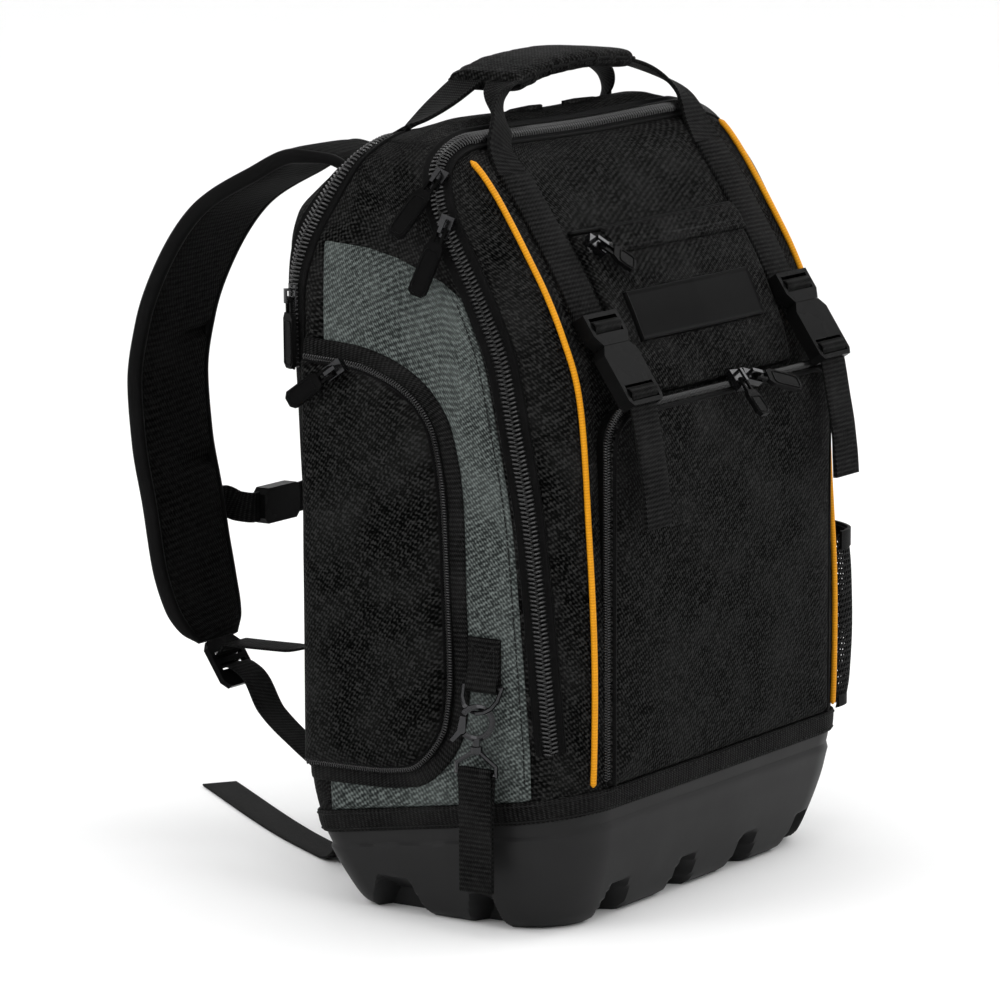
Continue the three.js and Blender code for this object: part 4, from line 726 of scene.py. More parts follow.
def makeBoot():
    turn = np.linspace(0, 8, boot["columns"], endpoint=False)[None]
    share = np.concatenate([np.linspace(0, 0.1, 6)[:-1], np.linspace(0.1, 0.45, 22)[:-1],
                            np.linspace(0.45, 1, 26)])
    z = share[:, None] * 66 + turn * 0
    for _ in range(6):
        top = joinZ(bagPoint(levelAt(z), turn + z * 0)[..., 1])
        z = share[:, None] * top
    p, _, _, out = bagFrame(levelAt(z), turn + z * 0)
    rib = np.clip((top - z - boot["stepDown"]) / 1.2, 0, 1) * np.clip(z / 5, 0, 1)
    p = p + out * (boot["step"] * rib)[..., None]
    frontFloor, rearFloor = -boot["floorFront"] * bag["front"], boot["floorRear"] * bag["rear"]
    halfFloor = boot["floorHalf"] * bag["width"] / 2
    for at, width in boot["frontNotches"]:
        inside = notchShare(p[..., 0], p[..., 2], at * halfFloor, width)
        near, far = frontFloor + boot["notchDepth"], rearFloor - boot["notchDepth"]
        p[..., 1] += inside * (np.maximum(near - p[..., 1], 0) + np.minimum(far - p[..., 1], 0))
    for at, width in boot["sideNotches"]:
        inside = notchShare(p[..., 1], p[..., 2], -at * bag["front"], width)
        reach = halfFloor - boot["notchDepth"]
        p[..., 0] += inside * (np.maximum(-reach - p[..., 0], 0) + np.minimum(reach - p[..., 0], 0))
    centre = np.array([0, boot["floorMiddle"], 0])
    floor = [centre + (p[0] - centre) * k for k in (0.02, 0.3, 0.6, 0.8, 0.92)]
    p = np.concatenate([np.stack(floor), p])
    faces = facing(p, [gridFaces(*p.shape[:2], wrapCols=True)])
    piece = putMesh("boot_skin", p, faces, finishes["boot"], clothUv(p), 32)
    wall = piece.modifiers.new("wall", "SOLIDIFY")
    wall.thickness, wall.offset = boot["wall"] * metre, -1
    dress(piece, "bag", "boot", "base_boot")
    level, around = joinSpots(700)
    section = [(-7, 0.0), (-7.1, 1.2), (-6.5, 2.0), (-3, 2.3), (0, 2.35), (3, 2.3), (6.5, 2.0), (7.1, 1.2),
               (7, 0.0)]
    rings = bandRings(level, around, section, wrap=True)
    dress(putTube("binding_tape", rings, finishes["webbing"], wrap=True), "bag", "webbing", "boot_binding")
    for shift in (-4.9, 4.9):
        level, around = joinSpots(310, shift)
        stitchSpots(level, around, 2.2, wrap=True)
    print("base made")


# Stitches, gathered into one piece
stitches = []


# One short thread at each place, laid along the run.
def stitchFrames(p, along, out):
    path = np.array([[-1.3, 0, -0.15], [-0.8, 0, 0.22], [0.8, 0, 0.22], [1.3, 0, -0.15]])
    rings = rod(path, 0.42, 5, up=(0, 1, 0))
    axes = np.stack([along, np.cross(out, along), out], 1)
    stitches.append(manyOf(rings.reshape(-1, 3), tubeFaces(rings), p, axes))


def stitchSpots(level, around, lift, wrap=False):
    p, along, _, out = bandFrames(level, around, wrap=wrap)
    stitchFrames(p + out * (lift + puffAt(p))[:, None], along, out)


# Stitches beside a side view line on both sides of the bag, moved forward or back by shift.
def stitchLine(name, shift, zs, lift):
    level, around = sideSpot(lineY(name, zs) + shift, zs)
    level, around = evenSpots(level, around, 3.9)
    stitchSpots(level, around, lift)
    stitchSpots(level, 3 - around, lift)


# Side panels
panels = {"rear": 59.5, "gap": 10.4, "lift": 1.6}


def makeSidePanels():
    share, up = np.linspace(0, 1, 60)[None], np.linspace(0, 1, 100)[:, None]
    top = sideLine("panelTop")
    top = np.concatenate([[[-42.5, 399.0]], top])
    y = panels["rear"] + share * -120 + up * 0
    for _ in range(25):
        foot = joinZ(y) + 6
        z = foot + up * (np.interp(y, top[:, 0], top[:, 1]) - foot)
        y = 0.5 * y + 0.5 * (panels["rear"] + share * (lineY("mainZip", z) + panels["gap"] - panels["rear"]))
    edge = np.minimum(np.minimum(share, 1 - share) * 120 + up * 0, np.minimum(up, 1 - up) * 320 + share * 0)
    lift = -0.9 + (0.9 + panels["lift"]) * np.sqrt(np.clip(edge / 3, 0, 1))
    level, around = sideSpot(y, z)
    points = onBag(level, around, lift)
    dress(putSheet("panel_cloth_left", points, finishes["panel"], 1.2), "bag", "panel", "side_panel_left")
    points = mirrored(points)[:, ::-1]
    dress(putSheet("panel_cloth_right", points, finishes["panel"], 1.2), "bag", "panel", "side_panel_right")
    stitchLine("mainZip", panels["gap"] + 4.5, np.linspace(100, 392, 80), panels["lift"] + 0.1)
    print("side panels made")


# Crowned pockets
# Soft folds: slanted waves whose phase another wave bends.
def creaseAt(a, b, seed):
    bend = np.sin(a / 41 + seed) + np.sin(b / 53 + 2 * seed)
    return (np.sin((a + 0.6 * b) / 27 + 1.7 * bend + seed) + 0.6 * np.sin((0.5 * a - b) / 19 + 1.3 * bend)
            + 0.35 * np.sin((a - 1.8 * b) / 11 + 2.1 * bend + 3 * seed))


crownInset = [0, 0, 0, 0.003, 0.010, 0.03, 0.06, 0.10, 0.16, 0.25, 0.35, 0.5, 0.65, 0.8, 0.92, 0.999]
crownRise = [-0.5, 0, 0.26, 0.38, 0.46, 0.545, 0.635, 0.71, 0.795, 0.865, 0.91, 0.955, 0.985, 1, 1, 1]


# Rings from the outline to its middle, rising along the crown's curve with soft folds inside its edge.
def crownedRings(outline, middle, place, rise, folds, seed, rows=44):
    at = np.linspace(0, len(crownInset) - 1, rows)
    inset = np.interp(at, np.arange(len(crownInset)), crownInset)[:, None, None]
    height = np.interp(at, np.arange(len(crownInset)), crownRise)[:, None]
    flat = outline[None] + (middle - outline)[None] * inset
    swell = folds * creaseAt(flat[..., 0], flat[..., 1], seed) * np.clip((inset[..., 0] - 0.01) / 0.12, 0, 1)
    return place(flat[..., 0], flat[..., 1], height * rise + swell)


# Even steps round a closed outline with straight sides between its points.
def evenLoop(points, step):
    points = np.concatenate([points, points[:1]])
    run = np.concatenate([[0], np.cumsum(np.linalg.norm(np.diff(points, axis=0), axis=1))])
    at = np.linspace(0, run[-1], int(run[-1] / step), endpoint=False)
    return np.stack([np.interp(at, run, points[:, c]) for c in range(points.shape[1])], 1)


# Line moved to its right-hand side in the side view.
def inwards(line, distance):
    along = unit(np.gradient(line, axis=0))
    return line + distance * np.stack([-along[:, 1], along[:, 0]], 1)


# Closed rings with a wall; the weave runs straight up it, side naming the axis across it.
def putSkin(name, rings, material, thick, side):
    faces = facing(rings, [gridFaces(*rings.shape[:2], wrapCols=True)])
    flat = rings.reshape(-1, 3)[:, [side, 2]] * metre
    piece = putMesh(name, rings, faces, material, flat, 60)
    wall = piece.modifiers.new("wall", "SOLIDIFY")
    wall.thickness, wall.offset = thick * metre, -1
    return piece


def frameOf(p, out):
    along = unit(np.gradient(p, axis=0))
    out = unit(out - along * (out * along).sum(-1, keepdims=True))
    return along, np.cross(out, along), out


# Fine teeth along even places with given normals.
def teethOn(p, out, look, name):
    along, across, out = frameOf(p, out)
    w = look["half"]
    path = np.array([[0, 1.0, 0.0], [0, 0.8, 0.55], [0, 0.4, 0.85], [0, 0.02, 1.05], [0, -0.12, 0.7]])
    lean = np.array([0.16, 0.1, 0, -0.1, -0.16])[:, None] * np.array([look["step"], 0, 0])
    rings = rod(path * np.array([1, w, look["rise"]]) + lean,
                np.array([0.75, 0.95, 1, 1.0, 0.7]) * look["bar"],
                5, flatten=0.8, up=(1, 0, 0))
    base, faces = rings.reshape(-1, 3), tubeFaces(rings)
    axes = np.stack([along, across, out], 1)
    left = manyOf(base, faces, p, axes)
    right = manyOf(base * np.array([1, -1, 1]), [f[:, ::-1] for f in faces], p + along * look["step"] / 2,
                   axes)
    return dress(putParts(name, [left, right], finishes["teeth"], sharp=60), "bag", "zip")


sidePocket = {"rise": 17, "border": 12, "folds": 0.7}


def makeSidePocket():
    line = smoothPath(sideLine("border"), 3)
    level, around = sideSpot(line[:, 0], line[:, 1])
    section = [(0, 1.0), (0.1, 2.6), (-1.2, 3.5), (-4, 3.9), (-8, 3.9), (-10.8, 3.5), (-12.1, 2.6),
               (-12, 1.0), (-6, 0.8)]
    rings = bandRings(level, around, section)
    dress(putTube("pocket_border_tape", rings, finishes["webbing"]), "bag", "webbing", "side_pocket_border")
    outline = inwards(line, sidePocket["border"] + 2.2)
    outline = evenLoop(outline, 3.2)
    low, high = outline.min(0), outline.max(0)
    span = (high[0] - low[0]) / 2
    middle = np.stack([np.full(len(outline), (low[0] + high[0]) / 2),
                       np.clip(outline[:, 1], low[1] + span, high[1] - span)], 1)

    def place(y, z, rise):
        return np.stack([-bag["width"] / 2 - rise, y, z], -1)
    rings = crownedRings(outline, middle, place, sidePocket["rise"], sidePocket["folds"], 0.4)
    dress(putSkin("side_pocket_cloth", rings, finishes["cloth"], 2, 1), "bag", "cloth", "side_pocket")
    seam = inwards(line, sidePocket["border"] + 4.0)
    edge = np.column_stack([np.full(len(seam), -bag["width"] / 2 - 6.0), seam])
    dress(putTube("side_pocket_seam", rod(edge, 2.2, 12), finishes["tape"]), "bag", "cloth")
    centre = inwards(line, sidePocket["border"] + 0.9)
    path = smoothPath(np.column_stack([np.full(len(centre), -bag["width"] / 2 - 4.2), centre]),
                      fineZipLook["step"])
    out = np.tile([-1.0, 0, 0], (len(path), 1))
    tape = [path + out * 0.1 - 3 * out, path + out * 0.1]
    across = frameOf(path, out)[1]
    box = np.stack([tape[0] - across * 2.4, tape[1] - across * 2.4, tape[1] + across * 2.4,
                    tape[0] + across * 2.4], 1)
    dress(putTube("side_pocket_tape", box, finishes["tape"], sharp=40), "bag", "zip", "side_pocket_zip")
    teethOn(path + out * 0.2, out, fineZipLook, "side_pocket_teeth")
    print("side pocket made")


# Front pocket, upper pocket, badge, piping and front webbings
frontPocket = {"half": 133, "foot": 93.3, "top": 326, "corner": 22, "seat": 119, "rise": 12, "folds": 0.7}


# Open line up the left, over the top and down the right, its corners rounded.
def archPath(half, foot, top, corner, step):
    turn = np.linspace(0, math.pi / 2, 14)
    arc = np.stack([-half + corner * (1 - np.cos(turn)), top - corner * (1 - np.sin(turn))], 1)
    line = np.concatenate([[[-half, foot]], arc])
    line = np.concatenate([line, line[::-1] * np.array([-1, 1])])
    run = np.concatenate([[0], np.cumsum(np.linalg.norm(np.diff(line, axis=0), axis=1))])
    at = np.linspace(0, run[-1], int(run[-1] / step) + 1)
    return np.stack([np.interp(at, run, line[:, c]) for c in (0, 1)], 1)


# Grid on the front of the bag whose lift depends on the distance to its nearest edge.
def frontGrid(xs, zs, liftOf):
    x, z = np.meshgrid(xs, zs)
    edge = np.minimum(np.minimum(x - xs[0], xs[-1] - x), np.minimum(z - zs[0], zs[-1] - z))
    level, around = frontSpot(x, z)
    return onBag(level, around, liftOf(x, z, edge))


def makeFront():
    fp = frontPocket
    outline = archPath(fp["half"], fp["foot"], fp["top"], fp["corner"], 2.4)
    outline = evenLoop(outline, 2.8)
    span = (fp["top"] - fp["foot"]) / 2
    middle = np.stack([np.clip(outline[:, 0], span - fp["half"], fp["half"] - span),
                       np.full(len(outline), fp["foot"] + span)], 1)

    def place(x, z, rise):
        return np.stack([x, -fp["seat"] - rise, z], -1)
    rings = crownedRings(outline, middle, place, fp["rise"], fp["folds"], 1.3, 50)
    rings[0, :, 1] = -100
    dress(putSkin("front_pocket_cloth", rings, finishes["cloth"], 2, 0), "bag", "cloth", "front_pocket")
    seam = archPath(fp["half"] - 2.6, fp["foot"], fp["top"] - 2.6, fp["corner"], 3)
    edge = np.stack([seam[:, 0], np.full(len(seam), -fp["seat"] - 5.6), seam[:, 1]], 1)
    dress(putTube("front_pocket_seam", rod(edge, 1.6, 10, up=(0, 1, 0)), finishes["tape"]), "bag", "cloth")
    centre = archPath(fp["half"] + 1.1, fp["foot"] + 4, fp["top"] + 1.1, fp["corner"], fineZipLook["step"])
    along = unit(np.gradient(centre, axis=0))
    away = np.stack([-along[:, 1], np.zeros(len(along)), along[:, 0]], 1)
    path = np.stack([centre[:, 0], np.full(len(centre), -fp["seat"] - 2.6), centre[:, 1]], 1)
    out = unit(away * 0.75 + np.array([0, -0.66, 0]))
    _, across, out = frameOf(path, out)
    box = np.stack([path - across * 2.6 - out * 6, path - across * 2.6, path + across * 2.6,
                    path + across * 2.6 - out * 6 + np.array([0, 6, 0])], 1)
    dress(putTube("front_pocket_tape", box, finishes["tape"], sharp=40), "bag", "zip", "front_pocket_zip")
    teethOn(path + out * 0.1, out, fineZipLook, "front_pocket_teeth")

    def slab(x, z, edge):
        soft = 1.3 * np.clip(edge / 40, 0, 1) * (1 + 0.35 * creaseAt(x, z, 2.2))
        return -0.5 + 5.6 * np.sqrt(1 - (1 - np.clip(edge / 4, 0, 1)) ** 2) + soft * (np.abs(z - 376) > 20)
    points = frontGrid(np.linspace(-95, 95, 90), np.linspace(329.4, 428, 56), slab)
    dress(putSheet("upper_pocket_cloth", points, finishes["cloth"], 2), "bag", "cloth", "upper_pocket")
    x = np.arange(-90, 90, fineZipLook["step"])
    level, around = frontSpot(x, np.full(len(x), 417.5))
    p, _, _, out = bandFrames(level, around)
    teethOn(p + out * (5.6 + puffAt(p))[:, None], out, fineZipLook, "upper_pocket_teeth")
    level, around = frontSpot(np.linspace(-95, 95, 60), np.full(60, 428.5))
    rings = bandRings(level, around, [(1.5 * math.cos(t), 2.6 + 1.6 * math.sin(t)) for t in
                                      np.linspace(0, 2 * math.pi, 10, endpoint=False)])
    dress(putTube("upper_pocket_seam", rings, finishes["tape"]), "bag", "cloth")

    def flapLift(x, z, edge):
        return 5.4 + 1.9 * np.sqrt(np.clip(edge / 1.2, 0, 1)) - 1.2 * np.clip((z - 421) / 7, 0, 1)
    flap = frontGrid(np.linspace(-64, 95, 110), np.linspace(412, 428.4, 22), flapLift)
    dress(putSheet("upper_pocket_flap", flap, finishes["cloth"], 1.2), "bag", "cloth")
    x = np.arange(-62, 93, 3.9)
    stitchSpots(*frontSpot(x, np.full(len(x), 414.4)), 7.3)

    def plateLift(x, z, edge):
        rim = np.clip((edge - 0.1) / 0.7, 0, 1) - 0.34 * np.clip((edge - 1.8) / 0.5, 0, 1)
        return 4.6 + 3.1 * np.sqrt(np.clip(rim, 0, 1))
    xs = np.linspace(-76, 70, 120)
    zs = np.linspace(361, 391, 44)
    dress(putSheet("badge_plate", frontGrid(xs, zs, plateLift), finishes["rubber"], 1.6, 40), "bag",
          "plastic", "badge")
    for side, name in ((-1, "left"), (1, "right")):
        z = np.linspace(95, 481, 220)
        level, around = frontSpot(np.full(len(z), side * bag["pipeX"]), z)
        p = bagPoint(level, around)
        clear = p[:, 1] < lineY("mainZip", z) - 11
        level, around = level[clear], around[clear]
        ring = [(1.9 * math.cos(t), 1.7 + 1.9 * math.sin(t)) for t in np.linspace(0, 2 * math.pi, 12,
                                                                                  endpoint=False)]
        rings = bandRings(level, around, ring)
        ends = rings.mean(1, keepdims=True)
        rings[[0, -1]] = ends[[0, -1]] + (rings[[0, -1]] - ends[[0, -1]]) * 0.35
        dress(putTube("piping_cord_" + name, rings, finishes["piping"]), "bag", "piping", "piping_" + name)
        z = np.linspace(368, 466, 50)
        level, around = frontSpot(np.full(len(z), side * bag["webX"]), z)
        rings = bandRings(level, around,
                          [(-15.5, 0.1), (-15.4, 1.9), (-14.6, 2.5), (14.6, 2.5), (15.4, 1.9), (15.5, 0.1)])
        dress(putTube("front_strap_" + name, rings, finishes["webbing"], sharp=50), "bag", "webbing",
              "front_webbing_" + name)
    print("front made")


# Ribbons in space
flatSection = np.array([[-1, -0.5], [-0.97, -1], [-0.5, -1], [0, -1], [0.5, -1], [0.97, -1], [1, -0.5],
                        [1, 0.5],
                        [0.97, 1], [0.5, 1], [0, 1], [-0.5, 1], [-0.97, 1], [-1, 0.5]])


# Rounded oblong: cosine and sine raised to a power below one.
def roundSection(power, count=28):
    t = np.linspace(0, 2 * math.pi, count, endpoint=False)
    return np.stack([np.sign(np.cos(t)) * np.abs(np.cos(t)) ** power,
                     np.sign(np.sin(t)) * np.abs(np.sin(t)) ** power], 1)


# Section carried along a path: wide is the direction of the width at each place.
def ribbonRings(path, wide, width, thick, section):
    path = np.asarray(path, float)
    along = unit(np.gradient(path, axis=0))
    wide = np.broadcast_to(np.asarray(wide, float), path.shape)
    wide = unit(wide - along * (wide * along).sum(-1, keepdims=True))
    over = np.cross(along, wide)
    width = np.broadcast_to(np.asarray(width, float), (len(path),))[:, None, None] / 2
    thick = np.broadcast_to(np.asarray(thick, float), (len(path),))[:, None, None] / 2
    return path[:, None] + wide[:, None] * section[None, :, :1] * width + over[:, None] * section[None, :,
                                                                                                  1:] * thick


handles = {
    "width": 24, "thick": 2.6, "gripWidth": 54, "gripThick": 13, "ahead": 30, "rise": 34, "turn": 0.6,
    "front": [(-1, -1.34, -0.93, 0), (-0.97, -0.98, -0.50, 5), (-0.87, -0.72, -0.02, 15),
              (-0.70, -0.30, 0.36, 45),
              (-0.50, 0.12, 0.60, 80), (-0.15, 0.20, 0.76, 90), (0.25, 0.20, 0.80, 90),
              (0.60, 0.18, 0.74, 90),
              (0.84, -0.02, 0.54, 70), (0.97, -0.40, 0.24, 38), (1.02, -0.76, -0.10, 10),
              (1.02, -1.02, -0.52, 0),
              (1, -1.36, -0.95, 0)],
    "rear": [(-1.04, 1.62, -0.42, 0), (-1, 1.45, -0.27, 15), (-0.88, 1.25, -0.02, 50),
             (-0.69, 1.10, 0.32, 80),
             (-0.50, 1.04, 0.60, 90), (-0.15, 1.04, 0.82, 90), (0.25, 1.04, 0.88, 90), (0.60, 1.04, 0.80, 90),
             (0.82, 1.12, 0.54, 78), (0.97, 1.30, 0.16, 45), (1.03, 1.46, -0.20, 12), (1.04, 1.62, -0.42, 0)],
    "grip": [(-0.53, 0.58, 0.58, 90), (-0.15, 0.62, 0.80, 90), (0.25, 0.62, 0.85, 90),
             (0.66, 0.61, 0.75, 90)],
}


# Places of a handle part and its width directions.
def handlePath(name, step):
    path = smoothPath(np.array(handles[name]) * np.array([bag["webX"], handles["ahead"], handles["rise"],
                                                          handles["turn"]]), step)
    turn = np.radians(path[:, 3] / handles["turn"])
    at = path[:, :3] + np.array([0, 0, bag["height"]])
    return at, np.stack([np.cos(turn), np.sin(turn), np.zeros(len(turn))], 1)


def makeHandle():
    at, wide = handlePath("front", 2.5)
    share = np.linspace(0, 1, len(at))
    flare = np.clip(np.maximum(0.10 - share, share - 0.90) / 0.10, 0, 1)
    rings = ribbonRings(at, wide, handles["width"] + 7 * flare, handles["thick"], flatSection)
    dress(putTube("handle_front_strap", rings, finishes["webbing"], sharp=50), "bag", "webbing",
          "handle_front")
    at, wide = handlePath("rear", 2.5)
    rings = ribbonRings(at, wide, handles["width"], handles["thick"], flatSection)
    dress(putTube("handle_rear_strap", rings, finishes["webbing"], sharp=50), "bag", "webbing", "handle_rear")
    at, wide = handlePath("grip", 2)
    share = np.linspace(-1, 1, len(at))
    end = np.clip((1 - np.abs(share)) / 0.05, 0, 1) ** 0.5
    sag = 1 + 0.02 * np.sin(share * 23) + 0.015 * np.sin(share * 41 + 1)
    rings = ribbonRings(at, wide, (handles["gripWidth"] * (0.97 + 0.03 * end)) * sag,
                        handles["gripThick"] * (0.35 + 0.65 * end),
                        roundSection(0.55, 40))
    grip = putTube("grip_cloth", rings, finishes["cloth"])
    dress(grip, "bag", "webbing", "handle_grip")
    for side in (-1, 1):
        edge = at + wide * side * (handles["gripWidth"] / 2 - 1.0)
        dress(putTube("grip_seam", rod(edge, 1.5, 10), finishes["tape"]), "bag", "webbing")
    print("handle made")


# Shoulder straps, locks' webbing and chest strap
straps = {
    "width": 74, "thick": 12, "x": 88, "reach": 249, "rightReach": 0.86, "webWidth": 25, "webThick": 1.5,
    "chestUp": 0.455, "chestBack": 0.948,
    "pad": [(0.295, 0.917, 0.70, 0.35), (0.400, 0.943, 0.80, 0.6), (0.480, 0.945, 0.95, 0.9),
            (0.622, 0.915, 1, 1),
            (0.783, 0.868, 1, 1), (0.900, 0.793, 1, 1), (0.972, 0.710, 1, 1), (1, 0.630, 1, 1),
            (0.988, 0.551, 1, 1),
            (0.956, 0.471, 1, 1), (0.928, 0.392, 1, 1), (0.895, 0.334, 0.92, 1), (0.866, 0.304, 0.75, 0.9),
            (0.845, 0.288, 0.5, 0.4)],
    "anchor": [(119, 77, 66), (116, 96, 72), (108, 130, 87), (98, 160, 102)],
    "tails": {
        -1: [(-84, 153, 142), (-76, 133, 145), (-73, 119, 138), (-72, 114, 115), (-72, 113, 60),
             (-71.5, 116, 18),
             (-69, 124, 5), (-62, 136, 1.6), (-25, 197, 1.2), (66, 325, 1.2)],
        1: [(84, 150, 142), (76, 132, 145), (73, 119, 138), (72, 114, 115), (72, 113, 60), (73, 116, 18),
            (78, 123, 5), (88, 131, 1.6), (150, 168, 1.2), (215, 206, 1.2)]},
}


def strapY(side, y):
    return y if side < 0 else bag["rear"] + (y - bag["rear"]) * straps["rightReach"]


def makeStraps():
    for side, name in ((-1, "left"), (1, "right")):
        rows = np.array(straps["pad"])
        knots = np.stack([np.full(len(rows), side * straps["x"]), strapY(side, rows[:, 0] * straps["reach"]),
                          rows[:, 1] * bag["height"], rows[:, 2] * straps["width"],
                          rows[:, 3] * straps["thick"]], 1)
        path = smoothPath(knots, 2.6)
        share = np.linspace(0, 1, len(path))
        crease = sum(np.exp(-((share - c) / 0.010) ** 2) for c in (0.52, 0.71))
        rings = ribbonRings(path[:, :3], (1, 0, 0), path[:, 3], path[:, 4], roundSection(0.5, 36))
        # Pinched seams across the inner half of the pad, on both its faces
        middle = path[:, None, :3]
        inner = np.clip(-side * (rings[..., 0] - side * straps["x"]) / 14 + 0.35, 0, 1)
        rings = rings + (middle + (rings - middle) * np.array([1, 0, 0]) - rings) * (0.75 * crease[:, None]
                                                                                     * inner)[..., None]
        pad = putTube("pad_cloth_" + name, rings, finishes["padding"])
        dress(pad, "bag", "padding", "shoulder_pad_" + name)
        for edge in (-1, 1):
            run = path[:, :3] + np.array([1, 0, 0]) * edge * (path[:, 3:4] / 2 - 1.0)
            along = unit(np.gradient(run, axis=0))
            section = roundSection(0.8, 12) * np.array([3.4, 1])
            over = np.cross(along, (1, 0, 0))
            tape = run[:, None] + section[None, :,
                                          :1] * np.array([1, 0, 0]) + over[:, None] * section[None, :, 1:] * (
                path[:, 4][:, None, None] * 0.30 + 1.6)
            dress(putTube("pad_binding_" + name, tape, finishes["tape"]), "bag", "webbing")
        end, along = knots[-1, :3], unit(knots[-1, :3] - knots[-2, :3])
        out = np.cross(along, (1, 0, 0))
        out = out if out[1] > 0 else -out
        lock = end + along * 0.6 - out * 2

        def local(down, rise):
            return lock + along * down + out * rise
        clear, one, two = 1.25, 11.2, 19.6
        points = [(side * x, strapY(side, y), z) for x, y, z in straps["anchor"]]
        points += [local(two + 9, -clear - 7), local(two + 1, -clear - 1), local(two, 2),
                   local(two - 1.4, 4 + clear),
                   local(one + 1.4, 4 + clear), local(one, 2), local(one - 1, -clear - 1),
                   local(one - 3, -clear - 8)]
        points += [(x, strapY(side, y) if y > 145 else y, z) for x, y, z in straps["tails"][side]]
        points = np.array(points)
        wide = np.tile([1.0, 0, 0], (len(points), 1))
        run = np.gradient(points, axis=0)
        wide[-4:] = unit(np.stack([run[-4:, 1], -run[-4:, 0], np.zeros(4)], 1))
        wide[-5] = unit(wide[-4] + wide[-5])
        path = smoothPath(np.concatenate([points, wide * 0.01], 1), 2)
        rings = ribbonRings(path[:, :3], path[:, 3:6], straps["webWidth"], straps["webThick"], flatSection)
        rings[..., 2] = np.maximum(rings[..., 2], 0.3)
        dress(putTube("strap_web_" + name, rings, finishes["webbing"], sharp=50), "bag", "webbing",
              "strap_webbing_" + name)
    height, padY = straps["chestUp"] * bag["height"], straps["chestBack"] * straps["reach"]
    inner = straps["x"] - straps["width"] / 2 - 0.3
    ends = np.array([[-inner, padY, height], [inner, strapY(1, padY), height]])
    middle = ends.mean(0)
    middle[2] = height - 7
    for end, sign, name in ((ends[0], -1, "left"), (ends[1], 1, "right")):
        near = middle + np.array([sign * 20.3, 0, 0])
        step = np.array([sign * -5.0, 0, 0])
        path = smoothPath([end - step * 0.8, end + step, (end + near) / 2 + np.array([0, 1.2, -1.5]),
                           near - step, near], 2)
        rings = ribbonRings(path, (0, 0, 1), 20, 2.6, flatSection)
        dress(putTube("chest_web_" + name, rings, finishes["webbing"], sharp=50), "bag", "webbing",
              "sternum_webbing_" + name)
    print("straps made")


# Back panel
backPad = {"half": 140, "foot": 91, "top": 437.4, "thick": 12}


def makeBackPanel():
    bp = backPad
    x, z = np.meshgrid(np.linspace(bp["half"], -bp["half"], 110), np.linspace(bp["foot"], bp["top"], 120))
    corner = 24
    cut = (np.abs(x) - bp["half"] + corner) + (np.abs(z - (bp["foot"] + bp["top"]) / 2)
                                               - (bp["top"] - bp["foot"]) / 2 + corner)
    edge = np.minimum(bp["half"] - np.abs(x), np.minimum(z - bp["foot"], bp["top"] - z))
    edge = np.minimum(edge, np.maximum((corner - cut) * 0.7, 0))
    channel = np.exp(-((np.abs(x) - 48) / 5.5) ** 4) * np.clip((edge - 12) / 10, 0, 1)
    quilt = 0.9 * np.exp(-((np.mod(z - 120, 52) - 26) / 3) ** 2)
    crown = np.sqrt(1 - (1 - np.clip(edge / 11, 0, 1)) ** 2)
    lift = -0.5 + (bp["thick"] + 0.8) * crown - 6.5 * channel - quilt * (edge > 12)
    level = levelAt(z)
    _, _, _, half, _, heel, _ = rowAt(level)
    points = onBag(level, 5 + (1 - x / (half - heel)) / 2, lift)
    pad = putSheet("back_pad_cloth", points, finishes["padding"], 2)
    dress(pad, "bag", "padding", "back_panel")
    print("back panel made")


# Mesh pocket on the right
net = {"front": -118, "rear": 6, "foot": 91, "top": 209, "reach": 48, "x": 149.8, "swing": 28.2, "pitch": 4.2,
       "hole": 0.38}


# Belly of the pocket: half a round, its reach changing with height.
def netPoint(angle, height):
    up = np.clip((height - net["foot"]) / (net["top"] - net["foot"]), 0, 1)
    out = curveThrough(up, np.array([0, 0.15, 0.45, 0.75, 1]), np.array([0.70, 0.90, 1, 0.94, 0.76]))
    share = (1 - np.cos(angle)) / 2
    x = net["x"] + net["swing"] * share + net["reach"] * out * np.maximum(np.sin(angle), 0) ** 0.45
    return np.stack([x, net["front"] + (net["rear"] - net["front"]) * share, height + 0 * angle], -1)


